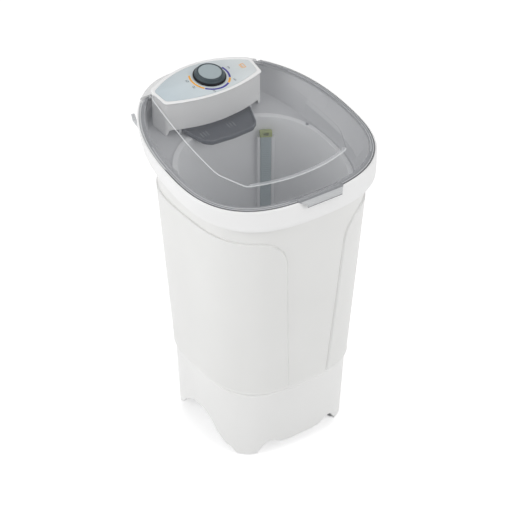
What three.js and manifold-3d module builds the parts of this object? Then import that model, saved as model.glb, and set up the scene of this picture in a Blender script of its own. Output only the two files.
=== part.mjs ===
// Semi-automatic washing machine: a tapered plastic cabinet, a round tub with an agitator in its
// floor, a sloping rim with a smoked lid, and a console with one timer knob at the back.
// Units are millimetres, +Z is up, the front faces -Y and the machine stands on Z = 0.

import * as THREE from 'three';
import { mergeVertices } from 'three/addons/utils/BufferGeometryUtils.js';
import Module from 'manifold-3d';

const wasm = await Module();
wasm.setup();

// Clearances and general sizes
const seatGap = 0.3;
const slideGap = 0.5;
const overrun = 2;
const skin = 3;
const outlineSteps = 56;
const roundSides = 24;
const smallSides = 12;
const pipeSteps = 16;
const pipeSides = 4;
const filletSteps = 6;
const weldReach = 1e-4;
const smallestShare = 1e-9;
const turnStepShare = 0.01;

// Rim plane: the rim, the lid and the console all lie along this sloping plane
const rimHeight = 791;
const rimSlope = 0.181;

// Rim outline, seen from above
const rimHalfWidth = 260.5;
const rimFrontMargin = 10;
const rimRearReach = 77;
const rimCentreY = -6;
const rimFrontPower = 2.74;
const rimRearPower = 3.56;
const rimTaperShare = 0.29;

// Collar: outer skirt, bead round the lid, lid seat, funnel and deck
const collarHeight = 48;
const collarTuck = 7;
const collarFrontGrow = 9;
const beadWidth = 4.5;
const rimEdgeRound = 1;
const seatDrop = 3;
const seatWidth = 14;
const wellRearMargin = 14;
const wellTopPower = 4;
const wellMidShare = 0.802;
const wellMidDrop = 40;
const wellBottomShare = 0.791;
const wellFrontInset = 26;
const wellBottomPower = 4.5;
const wellTaperShare = 0.19;
const deckDrop = 77;

// Cabinet
const topReference = 740;
const cabinetWidthShare = 0.8484;
const cabinetHalfDepth = 229;
const cabinetPower = 3.1;
const cabinetTopDrop = 45;
const stepHeight = 204;
const stepWidthShare = 0.857;
const stepDepthShare = 0.847;
const floorWidthShare = 0.837;
const floorDepthShare = 0.751;
const footHeight = 4.3;
const soleThickness = 4;
const panelRise = 4;
const panelTopDrop = 130;
const pillarTopHalfWidth = 84;
const pillarBottomHalfWidth = 59;
const pillarFillet = 75;
const pillarOffset = 6;
const coverHeight = 100;
const flangeWidth = 18;

// Arches under the base, as shares of their half length and height
const sideArchHalfShare = 0.744;
const sideArchHeight = 92;
const sideArchShares = [[1, 0], [0.93, 0.16], [0.75, 0.3], [0.6, 0.5], [0.45, 0.74], [0.22, 0.95], [0, 1]];
const frontArchHalfShare = 0.638;
const frontArchHeight = 42;
const frontArchShares = [[1, 0], [0.93, 0.72], [0.8, 1], [0.66, 0.92], [0.52, 0.6], [0.3, 0.52], [0, 0.52]];

// Tub
const tubWidthShare = 0.737;
const tubFrontMargin = 51;
const tubRearMargin = 58;
const tubFrontPower = 2.6;
const tubRearPower = 2.35;
const machineRoomHeight = 200;
const tubFloorShare = 0.88;
const tubFloorRound = 26;
const tubRoundShare = 0.3;
const tubFlangeWidth = 10;
const tubFlangeThickness = 3;

// Console, seen from above: two bowed long sides and two short ends
const consoleRearShare = 0.549;
const consoleFrontShare = 0.53;
const consoleRearMargin = 53;
const consoleDepth = 59;
const consoleRearBulge = 42;
const consoleFrontBulge = 25;
const consoleTop = 14;
const consolePlateThickness = 3.7;
const consoleSkirtDrop = 60.5;
const housingInset = 2;
const frameWidth = 8;
const labelThickness = 1.2;
const arcSteps = 12;

// Lid
const lidWall = 2.8;
const lidEdgeGap = 1.2;
const lidFlangeWidth = 12;
const lidStepRise = 4;
const ridgeWidthShare = 0.656;
const ridgeFrontMargin = 54;
const ridgeRearMargin = 51;
const ridgeFrontPower = 3.7;
const ridgeRearPower = 4;
const ridgeTaperShare = 0.1;
const ridgeFrontRise = 21;
const ridgeRearRise = 13.4;
const ridgeBevelWidth = 4;
const ridgeBevelDrop = 3;
const notchGap = 1.3;
const notchSwingLength = 16;
const handleHalfWidth = 62;
const handleTipHalfWidth = 48;
const handleOffset = 10;
const handleReach = 13;
const handleThickness = 3;
const handleLipDrop = 6.5;

// Lid hinge
const hingeRearMargin = 62;
const hingeLift = 2;
const hingePinRadius = 3;
const hingeLugRadius = 7;
const hingeLugWidth = 6;
const hingeRearReach = 4;
const hingePinHeadRadius = 4;
const hingePinHeadLength = 2.5;
const pocketHalfLength = 13;
const pocketWidth = 30;
const pocketDepth = 14;

// Timer and knob
const knobX = 13.5;
const knobRearMargin = 72;
const knobSkirtRadius = 40.5;
const knobGripRadius = 31.5;
const knobHeight = 14;
const knobEdgeHeight = 2;
const knobStepWidth = 3;
const knobStepRise = 1.4;
const knobGripFlare = 2;
const knobGripDrop = 4;
const knobGripRound = 1;
const knobLift = 0.6;
const knobCapRadius = 28;
const knobCapThickness = 1.6;
const pointerLength = 8;
const pointerWidth = 3;
const pointerRise = 6.6;
const timerShaftRadius = 3;
const timerHoleRadius = 5;
const timerWidth = 52;
const timerOffset = 5.5;
const timerDepth = 44;
const timerHeight = 26;
const timerShaftSink = 14;

// Soap tray and its rails
const trayWidthShare = 0.372;
const trayRearMargin = 64;
const trayLength = 129;
const trayHeight = 11.5;
const trayWall = 2.5;
const trayCornerShares = [[1, 0.75], [0.97, 0.5], [0.78, 0.12], [0.6, 0.03], [0, 0]];
const railWidth = 7;
const railLength = 52;

// Water inlet and duct
const inletPlaceShare = 0.269;
const inletRearMargin = 50;
const inletRadius = 13;
const inletBore = 8;
const inletLength = 34;
const inletFlangeRadius = 17;
const inletFlangeThickness = 3;
const ductRadius = 9;
const ductBore = 6;
const ductRise = 24;
const ductReach = 60;
const ductEndRise = 6;

// Lint filter in the rear right of the tub
const filterAngleShare = 0.158;
const filterWidth = 26;
const filterBackWidth = 34;
const filterFrontDepth = 6;
const filterBackDepth = 4;
const filterTopDrop = 122;
const filterFloorGap = 45;
const filterLipWidth = 4;
const filterProud = 1;
const filterSlotDepth = 1;
const filterSlotCount = 8;
const filterSlotShare = 0.2;
const filterCapHeight = 16;
const filterCapGrow = 2;
const filterLoopWidth = 14;
const filterLoopHeight = 7;

// Agitator and its drive
const driveY = -12;
const agitatorShare = 0.642;
const agitatorLift = 4;
const agitatorRimHeight = 6;
const agitatorDomeHeight = 46;
const agitatorHubRadius = 24;
const agitatorDomeShares = [[0.7, 0.3], [0.34, 0.55]];
const agitatorTipShare = 0.6;
const vaneCount = 4;
const vaneHeight = 34;
const vaneThickness = 9;
const vaneInset = 18;
const vaneSlant = 4;
const vaneTipShare = 0.7;
const driveShaftRadius = 8;
const bearingOuterRadius = 16;
const bearingHeight = 12;
const bearingHousingRadius = 26;
const bearingFlangeRadius = 46;
const bearingFlangeThickness = 6;
const bearingHousingLength = 92;
const sealHeight = 8;
const pulleyDrop = 14;
const pulleyHeight = 22;
const pulleyFlange = 4;
const drivenPulleyShare = 0.422;
const motorPulleyRadius = 23;
const grooveDepth = 6;
const grooveSlant = 1;
const pulleyHubRadius = 16;
const pulleyWeb = 5;
const pulleyRimThickness = 7;
const beltHeight = 10;

// Motor
const motorPlaceShare = 0.475;
const motorOffsetY = 80;
const motorRadius = 52;
const motorHeight = 98;
const motorBandShares = [[1, 0.3], [0, 0.34], [0, 0.66], [1, 0.7]];
const motorShaftRadius = 6;
const motorWaist = 4;
const motorBossRadius = 18;
const motorBossHeight = 8;
const bracketThickness = 4;
const bracketMargin = 20;
const capacitorRadius = 17;
const capacitorLength = 58;
const capacitorX = -96;
const capacitorY = -70;
const clipThickness = 2;
const clipWidth = 14;

// Drain, hook, gland, cover, pads and screws
const drainX = -92;
const drainY = 78;
const drainRadius = 16;
const drainBore = 12;
const drainDrop = 34;
const drainReach = 12;
const drainExitDrop = 61;
const hookPlaceShare = 0.676;
const hookWidth = 9;
const hookThickness = 4;
const hookReach = 32;
const hookRise = 15;
const hookPlateHeight = 18;
const hookPlateDepth = 8;
const hookDrop = 28;
const hookRearMargin = 64;
const hookBend = 6;
const glandX = 70;
const glandHeight = 150;
const glandRadius = 11;
const glandBore = 4;
const glandLength = 12;
const glandNeck = 7;
const glandTaper = 2;
const coverThickness = 3;
const coverEdgeGap = 1.5;
const coverVentRadius = 46;
const padRadius = 11;
const padSideMargin = 61;
const padEndMargin = 36;
const padStudRadius = 4;
const padStudLength = 8;
const screwRadius = 2;
const screwHeadRadius = 4;
const screwHeadHeight = 2.4;
const motorScrewMargin = 11;
const motorScrewShares = [0.1, 0.4, 0.75, 0.9];
const bearingScrewCircle = 37;
const tubScrewShares = [0.06, 0.44, 0.6, 0.9];
const coverScrewShares = [0.125, 0.375, 0.625, 0.875];

// Sizes that follow from the ones above
const rimFrontDepth = cabinetHalfDepth - rimFrontMargin;
const rimRearDepth = cabinetHalfDepth + rimRearReach;
const rimRearY = rimCentreY + rimRearDepth;
const cabinetHalfWidth = rimHalfWidth * cabinetWidthShare;
const stepHalfWidth = cabinetHalfWidth * stepWidthShare;
const stepHalfDepth = cabinetHalfDepth * stepDepthShare;
const floorHalfWidth = cabinetHalfWidth * floorWidthShare;
const floorHalfDepth = cabinetHalfDepth * floorDepthShare;
const sideArchHalf = floorHalfDepth * sideArchHalfShare;
const frontArchHalf = floorHalfWidth * frontArchHalfShare;
const padX = floorHalfWidth - padSideMargin;
const padY = floorHalfDepth - padEndMargin;
const tubFrontDepth = cabinetHalfDepth - tubFrontMargin;
const tubRearDepth = cabinetHalfDepth - tubRearMargin;
const agitatorRadius = ((tubFrontDepth + tubRearDepth) / 2) * agitatorShare;
const drivenPulleyRadius = stepHalfWidth * drivenPulleyShare;
const motorX = stepHalfWidth * motorPlaceShare;
const consoleRearTipY = rimRearY - consoleRearMargin;
const consoleFrontTipY = consoleRearTipY - consoleDepth;
const ridgeFrontDepth = rimFrontDepth - ridgeFrontMargin;
const ridgeRearDepth = rimRearDepth - ridgeRearMargin;
const hingeY = rimRearY - hingeRearMargin;
const knobY = rimRearY - knobRearMargin;
const trayRearY = rimRearY - trayRearMargin;
const trayFrontY = trayRearY - trayLength;
const inletY = rimRearY - inletRearMargin;
const hookY = rimRearY - hookRearMargin;
const deckTop = -deckDrop;
const deckBottom = -deckDrop - skin;
const housingBottom = deckTop + seatGap;
const housingTop = consoleTop - consolePlateThickness - seatGap;
const tubFloorHeight = coverHeight + machineRoomHeight;
const tubUnderside = tubFloorHeight - skin;
const bracketHigh = tubUnderside - seatGap;
const motorHigh = bracketHigh - bracketThickness - seatGap;
const motorLow = motorHigh - motorHeight;
const pulleyBottom = motorLow - motorBossHeight - pulleyDrop - pulleyHeight;
const drainExitHeight = tubUnderside - drainExitDrop;
const filterBottomHeight = tubFloorHeight + filterFloorGap;
const wellMidHalfWidth = rimHalfWidth * wellMidShare;
const wellBottomHalfWidth = rimHalfWidth * wellBottomShare;
const tubHalfWidth = rimHalfWidth * tubWidthShare;
const consoleRearHalf = rimHalfWidth * consoleRearShare;
const consoleFrontHalf = rimHalfWidth * consoleFrontShare;
const ridgeHalfWidth = rimHalfWidth * ridgeWidthShare;
const trayHalfWidth = rimHalfWidth * trayWidthShare;
const inletX = rimHalfWidth * inletPlaceShare;
const hookX = -rimHalfWidth * hookPlaceShare;
const lugInner = consoleRearHalf + notchGap + seatGap;
const slopeAngle = Math.atan(rimSlope);
const motorY = driveY + motorOffsetY;
const consoleFrontY = consoleFrontTipY - consoleFrontBulge;

// Materials
const finish = (color, roughness, metalness = 0) =>
  new THREE.MeshStandardMaterial({ color, roughness, metalness });
const white = finish(0xeeeeee, 0.35);
const smoke = finish(0x8f9296, 0.1);
smoke.transparent = true;
smoke.opacity = 0.5;
const labelGrey = finish(0xcdd8dc, 0.4);
const slate = finish(0x4b5860, 0.4);
const capGrey = finish(0xa3adb1, 0.35);
const trayDark = finish(0x4a4f57, 0.45);
const filterGreen = finish(0xaab85a, 0.45);
const blackRubber = finish(0x1d1d1f, 0.8);
const steel = finish(0xb4b6b8, 0.35, 1);
const motorGrey = finish(0x6d7074, 0.5, 0.6);
const beltBlack = finish(0x161616, 0.85);
const palePlastic = finish(0xd6d8da, 0.5);

const machine = new THREE.Group();

function addPart(name, geometry, material, group = machine) {
  const mesh = new THREE.Mesh(geometry, material);
  mesh.name = name;
  group.add(mesh);
  return mesh;
}

// Solids: welding, booleans and basic shapes

function weld(source) {
  const bare = source.clone();
  for (const name of Object.keys(bare.attributes)) {
    if (name !== 'position') bare.deleteAttribute(name);
  }
  const merged = mergeVertices(bare, weldReach);
  const index = Array.from(merged.index.array);
  const kept = [];
  for (let i = 0; i < index.length; i += 3) {
    const [a, b, c] = index.slice(i, i + 3);
    if (a !== b && b !== c && c !== a) kept.push(a, b, c);
  }
  const position = merged.getAttribute('position');
  const corners = [0, 1, 2].map(() => new THREE.Vector3());
  let volume = 0;
  for (let i = 0; i < kept.length; i += 3) {
    corners.forEach((corner, k) => corner.fromBufferAttribute(position, kept[i + k]));
    volume += corners[0].dot(corners[1].clone().cross(corners[2]));
  }
  if (volume < 0) {
    for (let i = 0; i < kept.length; i += 3) [kept[i], kept[i + 1]] = [kept[i + 1], kept[i]];
  }
  merged.setIndex(kept);
  merged.computeVertexNormals();
  return merged;
}

function toSolid(geometry) {
  const welded = weld(geometry);
  return new wasm.Manifold(new wasm.Mesh({
    numProp: 3,
    vertProperties: new Float32Array(welded.getAttribute('position').array),
    triVerts: new Uint32Array(welded.index.array),
  }));
}

function toGeometry(solid) {
  const mesh = solid.getMesh();
  const geometry = new THREE.BufferGeometry();
  geometry.setAttribute('position', new THREE.BufferAttribute(new Float32Array(mesh.vertProperties), 3));
  geometry.setIndex(Array.from(mesh.triVerts));
  return weld(geometry);
}

function cut(base, ...tools) {
  return toGeometry(tools.reduce((solid, tool) => solid.subtract(toSolid(tool)), toSolid(base)));
}

function join(base, ...others) {
  return toGeometry(others.reduce((solid, other) => solid.add(toSolid(other)), toSolid(base)));
}

function common(base, other) {
  return toGeometry(toSolid(base).intersect(toSolid(other)));
}

function block(x0, x1, y0, y1, z0, z1) {
  const geometry = new THREE.BoxGeometry(x1 - x0, y1 - y0, z1 - z0);
  geometry.translate((x0 + x1) / 2, (y0 + y1) / 2, (z0 + z1) / 2);
  return geometry;
}

function rod(radius, z0, z1, sides = roundSides) {
  const geometry = new THREE.CylinderGeometry(radius, radius, z1 - z0, sides);
  geometry.rotateX(Math.PI / 2);
  geometry.translate(0, 0, (z0 + z1) / 2);
  return geometry;
}

function crossRod(radius, x0, x1, sides = roundSides) {
  return rod(radius, x0, x1, sides).rotateY(Math.PI / 2);
}

function turned(profile, sides = roundSides) {
  const points = profile.map(([r, z]) => new THREE.Vector2(r, z));
  return weld(new THREE.LatheGeometry(points, sides).rotateX(Math.PI / 2));
}

function ringPart(outer, inner, z0, z1, sides = roundSides) {
  return turned([[inner, z0], [outer, z0], [outer, z1], [inner, z1], [inner, z0]], sides);
}

function prism(points, z0, z1) {
  const shape = new THREE.Shape(points.map(([x, y]) => new THREE.Vector2(x, y)));
  const geometry = new THREE.ExtrudeGeometry(shape, { depth: z1 - z0, bevelEnabled: false });
  geometry.translate(0, 0, z0);
  return weld(geometry);
}

function pipe(points, outer, inner, steps, sides = smallSides) {
  const shape = new THREE.Shape();
  shape.absarc(0, 0, outer, 0, 2 * Math.PI);
  const bore = new THREE.Path();
  bore.absarc(0, 0, inner, 0, 2 * Math.PI, true);
  shape.holes.push(bore);
  const path = new THREE.CatmullRomCurve3(points.map(([x, y, z]) => new THREE.Vector3(x, y, z)));
  const options = { steps, extrudePath: path, curveSegments: sides, bevelEnabled: false };
  return weld(new THREE.ExtrudeGeometry(shape, options));
}

// Everything on the rim plane is drawn flat with its height above the rim, then slid to the slope

function rimZ(y) {
  return rimHeight + rimSlope * y;
}

function onRim(geometry) {
  const position = geometry.getAttribute('position');
  for (let i = 0; i < position.count; i++) position.setZ(i, position.getZ(i) + rimZ(position.getY(i)));
  return geometry;
}

// Rounded outlines seen from above, as closed loops of points

function outline(halfWidth, frontDepth, rearDepth, frontPower, rearPower, taperShare, centreY) {
  return { halfWidth, frontDepth, rearDepth, frontPower, rearPower, taperShare, centreY };
}

function inset(shape, amount) {
  return {
    ...shape,
    halfWidth: shape.halfWidth - amount,
    frontDepth: shape.frontDepth - amount,
    rearDepth: shape.rearDepth - amount,
  };
}

function outlinePoint(shape, turn) {
  const angle = 2 * Math.PI * turn;
  const c = Math.cos(angle);
  const s = Math.sin(angle);
  const power = s < 0 ? shape.frontPower : shape.rearPower;
  const depth = s < 0 ? shape.frontDepth : shape.rearDepth;
  const along = Math.abs(s) ** (2 / power);
  const taper = s < 0 ? 1 : 1 - shape.taperShare * along ** 2;
  const x = shape.halfWidth * Math.sign(c) * Math.abs(c) ** (2 / power) * taper;
  return [Math.abs(c) < smallestShare ? 0 : x, shape.centreY + Math.sign(s) * depth * along];
}

function ring(shape, heightAt) {
  const points = [];
  for (let k = 0; k < outlineSteps; k++) {
    const [x, y] = outlinePoint(shape, k / outlineSteps);
    points.push(new THREE.Vector3(x, y, heightAt(y)));
  }
  return points;
}

function rimRing(shape, lift) {
  return ring(shape, (y) => rimZ(y) + (typeof lift === 'function' ? lift(y) : lift));
}

function loft(rings, closed = false) {
  const count = rings[0].length;
  const positions = rings.flat().flatMap((p) => [p.x, p.y, p.z]);
  const index = [];
  const last = closed ? rings.length : rings.length - 1;
  for (let r = 0; r < last; r++) {
    const lower = r * count;
    const upper = ((r + 1) % rings.length) * count;
    for (let k = 0; k < count; k++) {
      const next = (k + 1) % count;
      index.push(lower + k, lower + next, upper + next, lower + k, upper + next, upper + k);
    }
  }
  if (!closed) {
    [0, rings.length - 1].forEach((r) => {
      const centre = rings[r].reduce((sum, p) => sum.add(p), new THREE.Vector3()).divideScalar(count);
      const hub = positions.length / 3;
      positions.push(centre.x, centre.y, centre.z);
      for (let k = 0; k < count; k++) {
        const a = r * count + k;
        const b = r * count + ((k + 1) % count);
        if (r === 0) index.push(hub, b, a);
        else index.push(hub, a, b);
      }
    });
  }
  const geometry = new THREE.BufferGeometry();
  geometry.setAttribute('position', new THREE.Float32BufferAttribute(positions, 3));
  geometry.setIndex(index);
  return weld(geometry);
}

const rimOutline = outline(
  rimHalfWidth, rimFrontDepth, rimRearDepth, rimFrontPower, rimRearPower, rimTaperShare, rimCentreY);
const collarOutline = {
  ...inset(rimOutline, collarTuck),
  frontDepth: rimFrontDepth + collarFrontGrow,
};
const wellTop = {
  ...inset(rimOutline, beadWidth + seatWidth),
  rearDepth: rimRearDepth - wellRearMargin + panelRise,
  rearPower: wellTopPower,
};
const wellMid = {
  ...wellTop,
  halfWidth: wellMidHalfWidth,
  frontDepth: rimFrontDepth - wellFrontInset + skin,
  rearPower: wellBottomPower,
  taperShare: wellTaperShare,
};
const wellBottom = { ...wellMid, halfWidth: wellBottomHalfWidth, frontDepth: rimFrontDepth - wellFrontInset };
const tubTop = outline(tubHalfWidth, tubFrontDepth, tubRearDepth, tubFrontPower, tubRearPower, 0, rimCentreY);
const tubBottom = {
  ...tubTop,
  halfWidth: tubHalfWidth * tubFloorShare,
  frontDepth: tubFrontDepth * tubFloorShare,
  rearDepth: tubRearDepth * tubFloorShare,
};
const ridge = outline(
  ridgeHalfWidth, ridgeFrontDepth, ridgeRearDepth, ridgeFrontPower, ridgeRearPower, ridgeTaperShare, 0);

function consoleOutline(grow) {
  const points = [];
  const front = consoleFrontHalf + grow;
  const rear = consoleRearHalf + grow;
  for (let k = 0; k <= arcSteps; k++) {
    const share = (2 * k) / arcSteps - 1;
    points.push([front * share, consoleFrontTipY - grow - consoleFrontBulge * (1 - share ** 2)]);
  }
  for (let k = 0; k <= arcSteps; k++) {
    const share = 1 - (2 * k) / arcSteps;
    points.push([rear * share, consoleRearTipY + grow + consoleRearBulge * (1 - share ** 2)]);
  }
  return points;
}

function consolePrism(grow, low, high) {
  return onRim(prism(consoleOutline(grow), low, high));
}

// Frame square to the console's face, with its origin at the knob's centre

const faceMatrix = new THREE.Matrix4().makeRotationX(slopeAngle);
faceMatrix.setPosition(knobX, knobY, rimZ(knobY) + consoleTop);

function onFace(geometry) {
  return geometry.applyMatrix4(faceMatrix);
}

// Cabinet

const panelTopHeight = rimHeight - panelTopDrop;

function cabinetOutline(z, amount) {
  const upper = z >= stepHeight;
  const share = upper ? (z - stepHeight) / (topReference - stepHeight) : z / stepHeight;
  const low = upper
    ? [stepHalfWidth, stepHalfDepth]
    : [floorHalfWidth + panelRise, floorHalfDepth + panelRise];
  const high = upper ? [cabinetHalfWidth, cabinetHalfDepth] : [stepHalfWidth, stepHalfDepth];
  const width = low[0] + (high[0] - low[0]) * share - amount;
  const depth = low[1] + (high[1] - low[1]) * share - amount;
  return outline(width, depth, depth, cabinetPower, cabinetPower, 0, 0);
}

function cabinetRing(amount, heightAt) {
  const points = [];
  for (let k = 0; k < outlineSteps; k++) {
    let [x, y, z] = [0, 0, heightAt(0)];
    for (let round = 0; round < 6; round++) {
      [x, y] = outlinePoint(cabinetOutline(z, amount), k / outlineSteps);
      z = heightAt(y);
    }
    points.push(new THREE.Vector3(x, y, z));
  }
  return points;
}

function archPrism(shares, half, height, reach) {
  const right = shares.map(([along, up]) => [along * half, footHeight + up * (height - footHeight)]);
  const left = right.slice(0, -1).reverse().map(([x, z]) => [-x, z]);
  const outlinePoints = [[half, -overrun], ...right, ...left, [-half, -overrun]];
  return prism(outlinePoints, -reach, reach).rotateX(Math.PI / 2);
}

function pillarPrism() {
  const filletLow = panelTopHeight - pillarFillet;
  const slope = (pillarTopHalfWidth - pillarBottomHalfWidth) / (filletLow - stepHeight);
  const lean = Math.atan(slope);
  const right = [[pillarBottomHalfWidth - slope * panelRise, stepHeight - panelRise]];
  for (let k = 0; k <= filletSteps; k++) {
    const angle = lean + (k / filletSteps) * (Math.PI / 2 - lean);
    const x = pillarTopHalfWidth + pillarFillet * (1 - Math.cos(angle));
    right.push([x, panelTopHeight - pillarFillet * (1 - Math.sin(angle))]);
  }
  right.push([pillarTopHalfWidth + pillarFillet, panelTopHeight + panelRise]);
  const left = right.map(([x, z]) => [-x, z]).reverse();
  return prism([...right, ...left], 0, 2 * cabinetHalfDepth).rotateX(Math.PI / 2)
    .translate(pillarOffset, 0, 0);
}

function wellEnvelope(grow) {
  return loft([
    rimRing(inset(wellBottom, -grow), deckTop - grow),
    rimRing(inset(wellBottom, -grow), deckTop),
    rimRing(inset(wellMid, -grow), -wellMidDrop),
    rimRing(inset(wellTop, -grow), -seatDrop),
  ]);
}

function cabinetGeometry() {
  const topAt = (y) => rimZ(y) - cabinetTopDrop;
  const core = loft([
    cabinetRing(panelRise, () => footHeight),
    cabinetRing(panelRise, () => stepHeight),
    cabinetRing(panelRise, topAt),
  ]);
  const panel = loft([
    cabinetRing(0, () => stepHeight),
    cabinetRing(0, () => panelTopHeight),
  ]);
  const wall = panelRise + skin;
  const upperRoom = loft([
    cabinetRing(wall, () => coverHeight),
    cabinetRing(wall, () => stepHeight),
    cabinetRing(wall, (y) => topAt(y) + overrun),
  ]);
  const flangeRoom = loft([
    cabinetRing(wall + flangeWidth, () => coverHeight - skin - overrun),
    cabinetRing(wall + flangeWidth, () => coverHeight + overrun),
  ]);
  const footRoom = loft([
    cabinetRing(wall, () => footHeight + soleThickness),
    cabinetRing(wall, () => coverHeight - skin),
  ]);
  const reach = 2 * cabinetHalfWidth;
  const sideArch = archPrism(sideArchShares, sideArchHalf, sideArchHeight, reach).rotateZ(Math.PI / 2);
  const frontArch = archPrism(frontArchShares, frontArchHalf, frontArchHeight, reach);
  const studHoles = padPlaces().map(([x, y]) => rod(padStudRadius + seatGap, 0, coverHeight / 2, smallSides)
    .translate(x, y, 0));
  const screwHoles = coverScrewPlaces().map(([x, y]) => rod(screwRadius + seatGap, coverHeight - 2 * skin,
    coverHeight + overrun, smallSides).translate(x, y, 0));
  const rearAt = cabinetOutline(drainExitHeight, 0).rearDepth;
  const drainHole = rod(drainRadius + seatGap, 0, reach).rotateX(-Math.PI / 2)
    .translate(drainX, rearAt / 2, drainExitHeight);
  const glandHole = rod(glandNeck + seatGap, 0, reach, smallSides).rotateX(-Math.PI / 2)
    .translate(glandX, rearAt / 2, glandHeight);
  return cut(
    join(core, cut(panel, pillarPrism())), upperRoom, flangeRoom, footRoom, sideArch, frontArch,
    ...studHoles, ...screwHoles, drainHole, glandHole, wellEnvelope(skin + seatGap));
}

function padPlaces() {
  return [[-padX, -padY], [padX, -padY], [padX, padY], [-padX, padY]];
}

function coverScrewPlaces() {
  const seat = cabinetOutline(coverHeight, panelRise + skin + flangeWidth / 2);
  return coverScrewShares.map((turn) => outlinePoint(seat, turn));
}

addPart('cabinet', cabinetGeometry(), white);

padPlaces().forEach(([x, y], k) => {
  const pad = turned([[0, 0], [padRadius, 0], [padRadius, footHeight - seatGap],
    [padStudRadius, footHeight - seatGap], [padStudRadius, footHeight + padStudLength],
    [0, footHeight + padStudLength]], smallSides);
  addPart(`foot_pad_${k + 1}`, pad.translate(x, y, 0), palePlastic);
});

// Cover that closes the base from below, on the cabinet's inner flange

function bottomCoverGeometry() {
  const low = coverHeight + seatGap;
  const edge = panelRise + skin + coverEdgeGap;
  const plate = loft([
    cabinetRing(edge, () => low),
    cabinetRing(edge, () => low + coverThickness),
  ]);
  const vent = rod(coverVentRadius, low - overrun, low + coverThickness + overrun);
  const holes = coverScrewPlaces().map(([x, y]) => rod(screwRadius + seatGap, low - overrun,
    low + coverThickness + overrun, smallSides).translate(x, y, 0));
  return cut(plate, vent.translate(0, driveY, 0), ...holes);
}

addPart('bottom_cover', bottomCoverGeometry(), palePlastic);

function screwGeometry(length) {
  return turned([[0, -length], [screwRadius, -length], [screwRadius, 0], [screwHeadRadius, 0],
    [screwHeadRadius, screwHeadHeight], [0, screwHeadHeight]], smallSides);
}

coverScrewPlaces().forEach(([x, y], k) => {
  const head = coverHeight + 2 * seatGap + coverThickness;
  addPart(`cover_screw_${k + 1}`, screwGeometry(coverThickness + skin).translate(x, y, head), steel);
});

// Collar: one sweep of its wall section round the rim

function tubScrewPlaces() {
  const circle = inset(tubTop, -skin - tubFlangeWidth / 2);
  return tubScrewShares.map((turn) => outlinePoint(circle, turn));
}

function collarGeometry() {
  const bead = inset(rimOutline, beadWidth);
  const sweep = loft([
    rimRing(collarOutline, -collarHeight),
    rimRing(rimOutline, -skin),
    rimRing(inset(rimOutline, rimEdgeRound), 0),
    rimRing(bead, 0),
    rimRing(bead, -seatDrop),
    rimRing(wellTop, -seatDrop),
    rimRing(wellMid, -wellMidDrop),
    rimRing(wellBottom, deckTop),
    rimRing(inset(tubTop, -skin - seatGap), deckTop),
    rimRing(inset(tubTop, -skin - seatGap), deckBottom),
    rimRing(inset(wellBottom, -skin), deckBottom),
    rimRing(inset(wellMid, -skin), -wellMidDrop),
    rimRing(inset(wellTop, -skin), -seatDrop - skin),
    rimRing(inset(rimOutline, beadWidth), -seatDrop - skin),
    rimRing(inset(collarOutline, skin), -collarHeight),
  ], true);
  const rearCover = cut(
    common(loft([rimRing(bead, -seatDrop - skin), rimRing(bead, 0)]),
      rearHalfSpace(hingeY + pocketHalfLength, -2 * pocketDepth, 2 * overrun)),
    consolePrism(notchGap, -2 * pocketDepth, 2 * overrun));
  const pockets = [-1, 1].map((side) => {
    const inner = side * (consoleRearHalf - overrun);
    const outer = side * (consoleRearHalf + pocketWidth);
    const pocket = block(Math.min(inner, outer), Math.max(inner, outer),
      hingeY - pocketHalfLength, hingeY + pocketHalfLength, -pocketDepth, overrun);
    const limit = loft([
      rimRing(inset(bead, rimEdgeRound), -2 * pocketDepth),
      rimRing(inset(bead, rimEdgeRound), 2 * overrun),
    ]);
    return common(onRim(pocket), limit);
  });
  const screwHoles = tubScrewPlaces().map(([x, y]) => onRim(rod(screwRadius + seatGap, deckBottom - overrun,
    deckTop + overrun, smallSides).translate(x, y, 0)));
  const inletHole = onRim(rod(inletRadius - overrun + seatGap, deckBottom - overrun, deckTop + overrun)
    .translate(inletX, inletY, 0));
  return cut(join(sweep, rearCover), ...pockets, ...screwHoles, inletHole);
}

addPart('top_collar', collarGeometry(), white);

// Tub with its flange on the collar's deck, its floor dish, and the guide of the lint filter on its wall

const flangeLow = deckTop + seatGap;
const flangeTop = flangeLow + tubFlangeThickness;
const tubSeamHeight = tubFloorHeight + tubFloorRound;

function wallLine(turn, depth) {
  const low = outlinePoint(tubBottom, turn);
  const high = outlinePoint(tubTop, turn);
  const top = new THREE.Vector3(high[0], high[1], rimZ(high[1]) + deckTop);
  const bottom = new THREE.Vector3(low[0], low[1], tubFloorHeight + tubFloorRound);
  const ahead = outlinePoint(tubTop, turn - turnStepShare);
  const behind = outlinePoint(tubTop, turn + turnStepShare);
  const sideways = new THREE.Vector3(ahead[0] - behind[0], ahead[1] - behind[1], 0).normalize();
  const up = top.clone().sub(bottom).normalize();
  const outward = up.clone().cross(sideways).normalize();
  const frame = new THREE.Matrix4().makeBasis(outward.clone().cross(up), outward, up);
  return frame.setPosition(top.addScaledVector(outward, -depth));
}

const guideDepth = filterFrontDepth + filterBackDepth + slideGap;
const filterFrame = wallLine(filterAngleShare, skin / 2);
const filterTop = -filterTopDrop + deckDrop;
const filterBottom = filterBottomHeight - (rimHeight - deckDrop);

function filterBlock(halfWidth, front, rear, low, high) {
  return block(-halfWidth, halfWidth, -front, -rear, low, high);
}

function filterBody(grow, low, high) {
  const back = filterBlock(filterBackWidth / 2 + grow, filterBackDepth + skin + grow, skin - grow, low, high);
  const face = filterBlock(filterWidth / 2 + grow, guideDepth + skin + grow, skin, low, high);
  return join(back, face);
}

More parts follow.
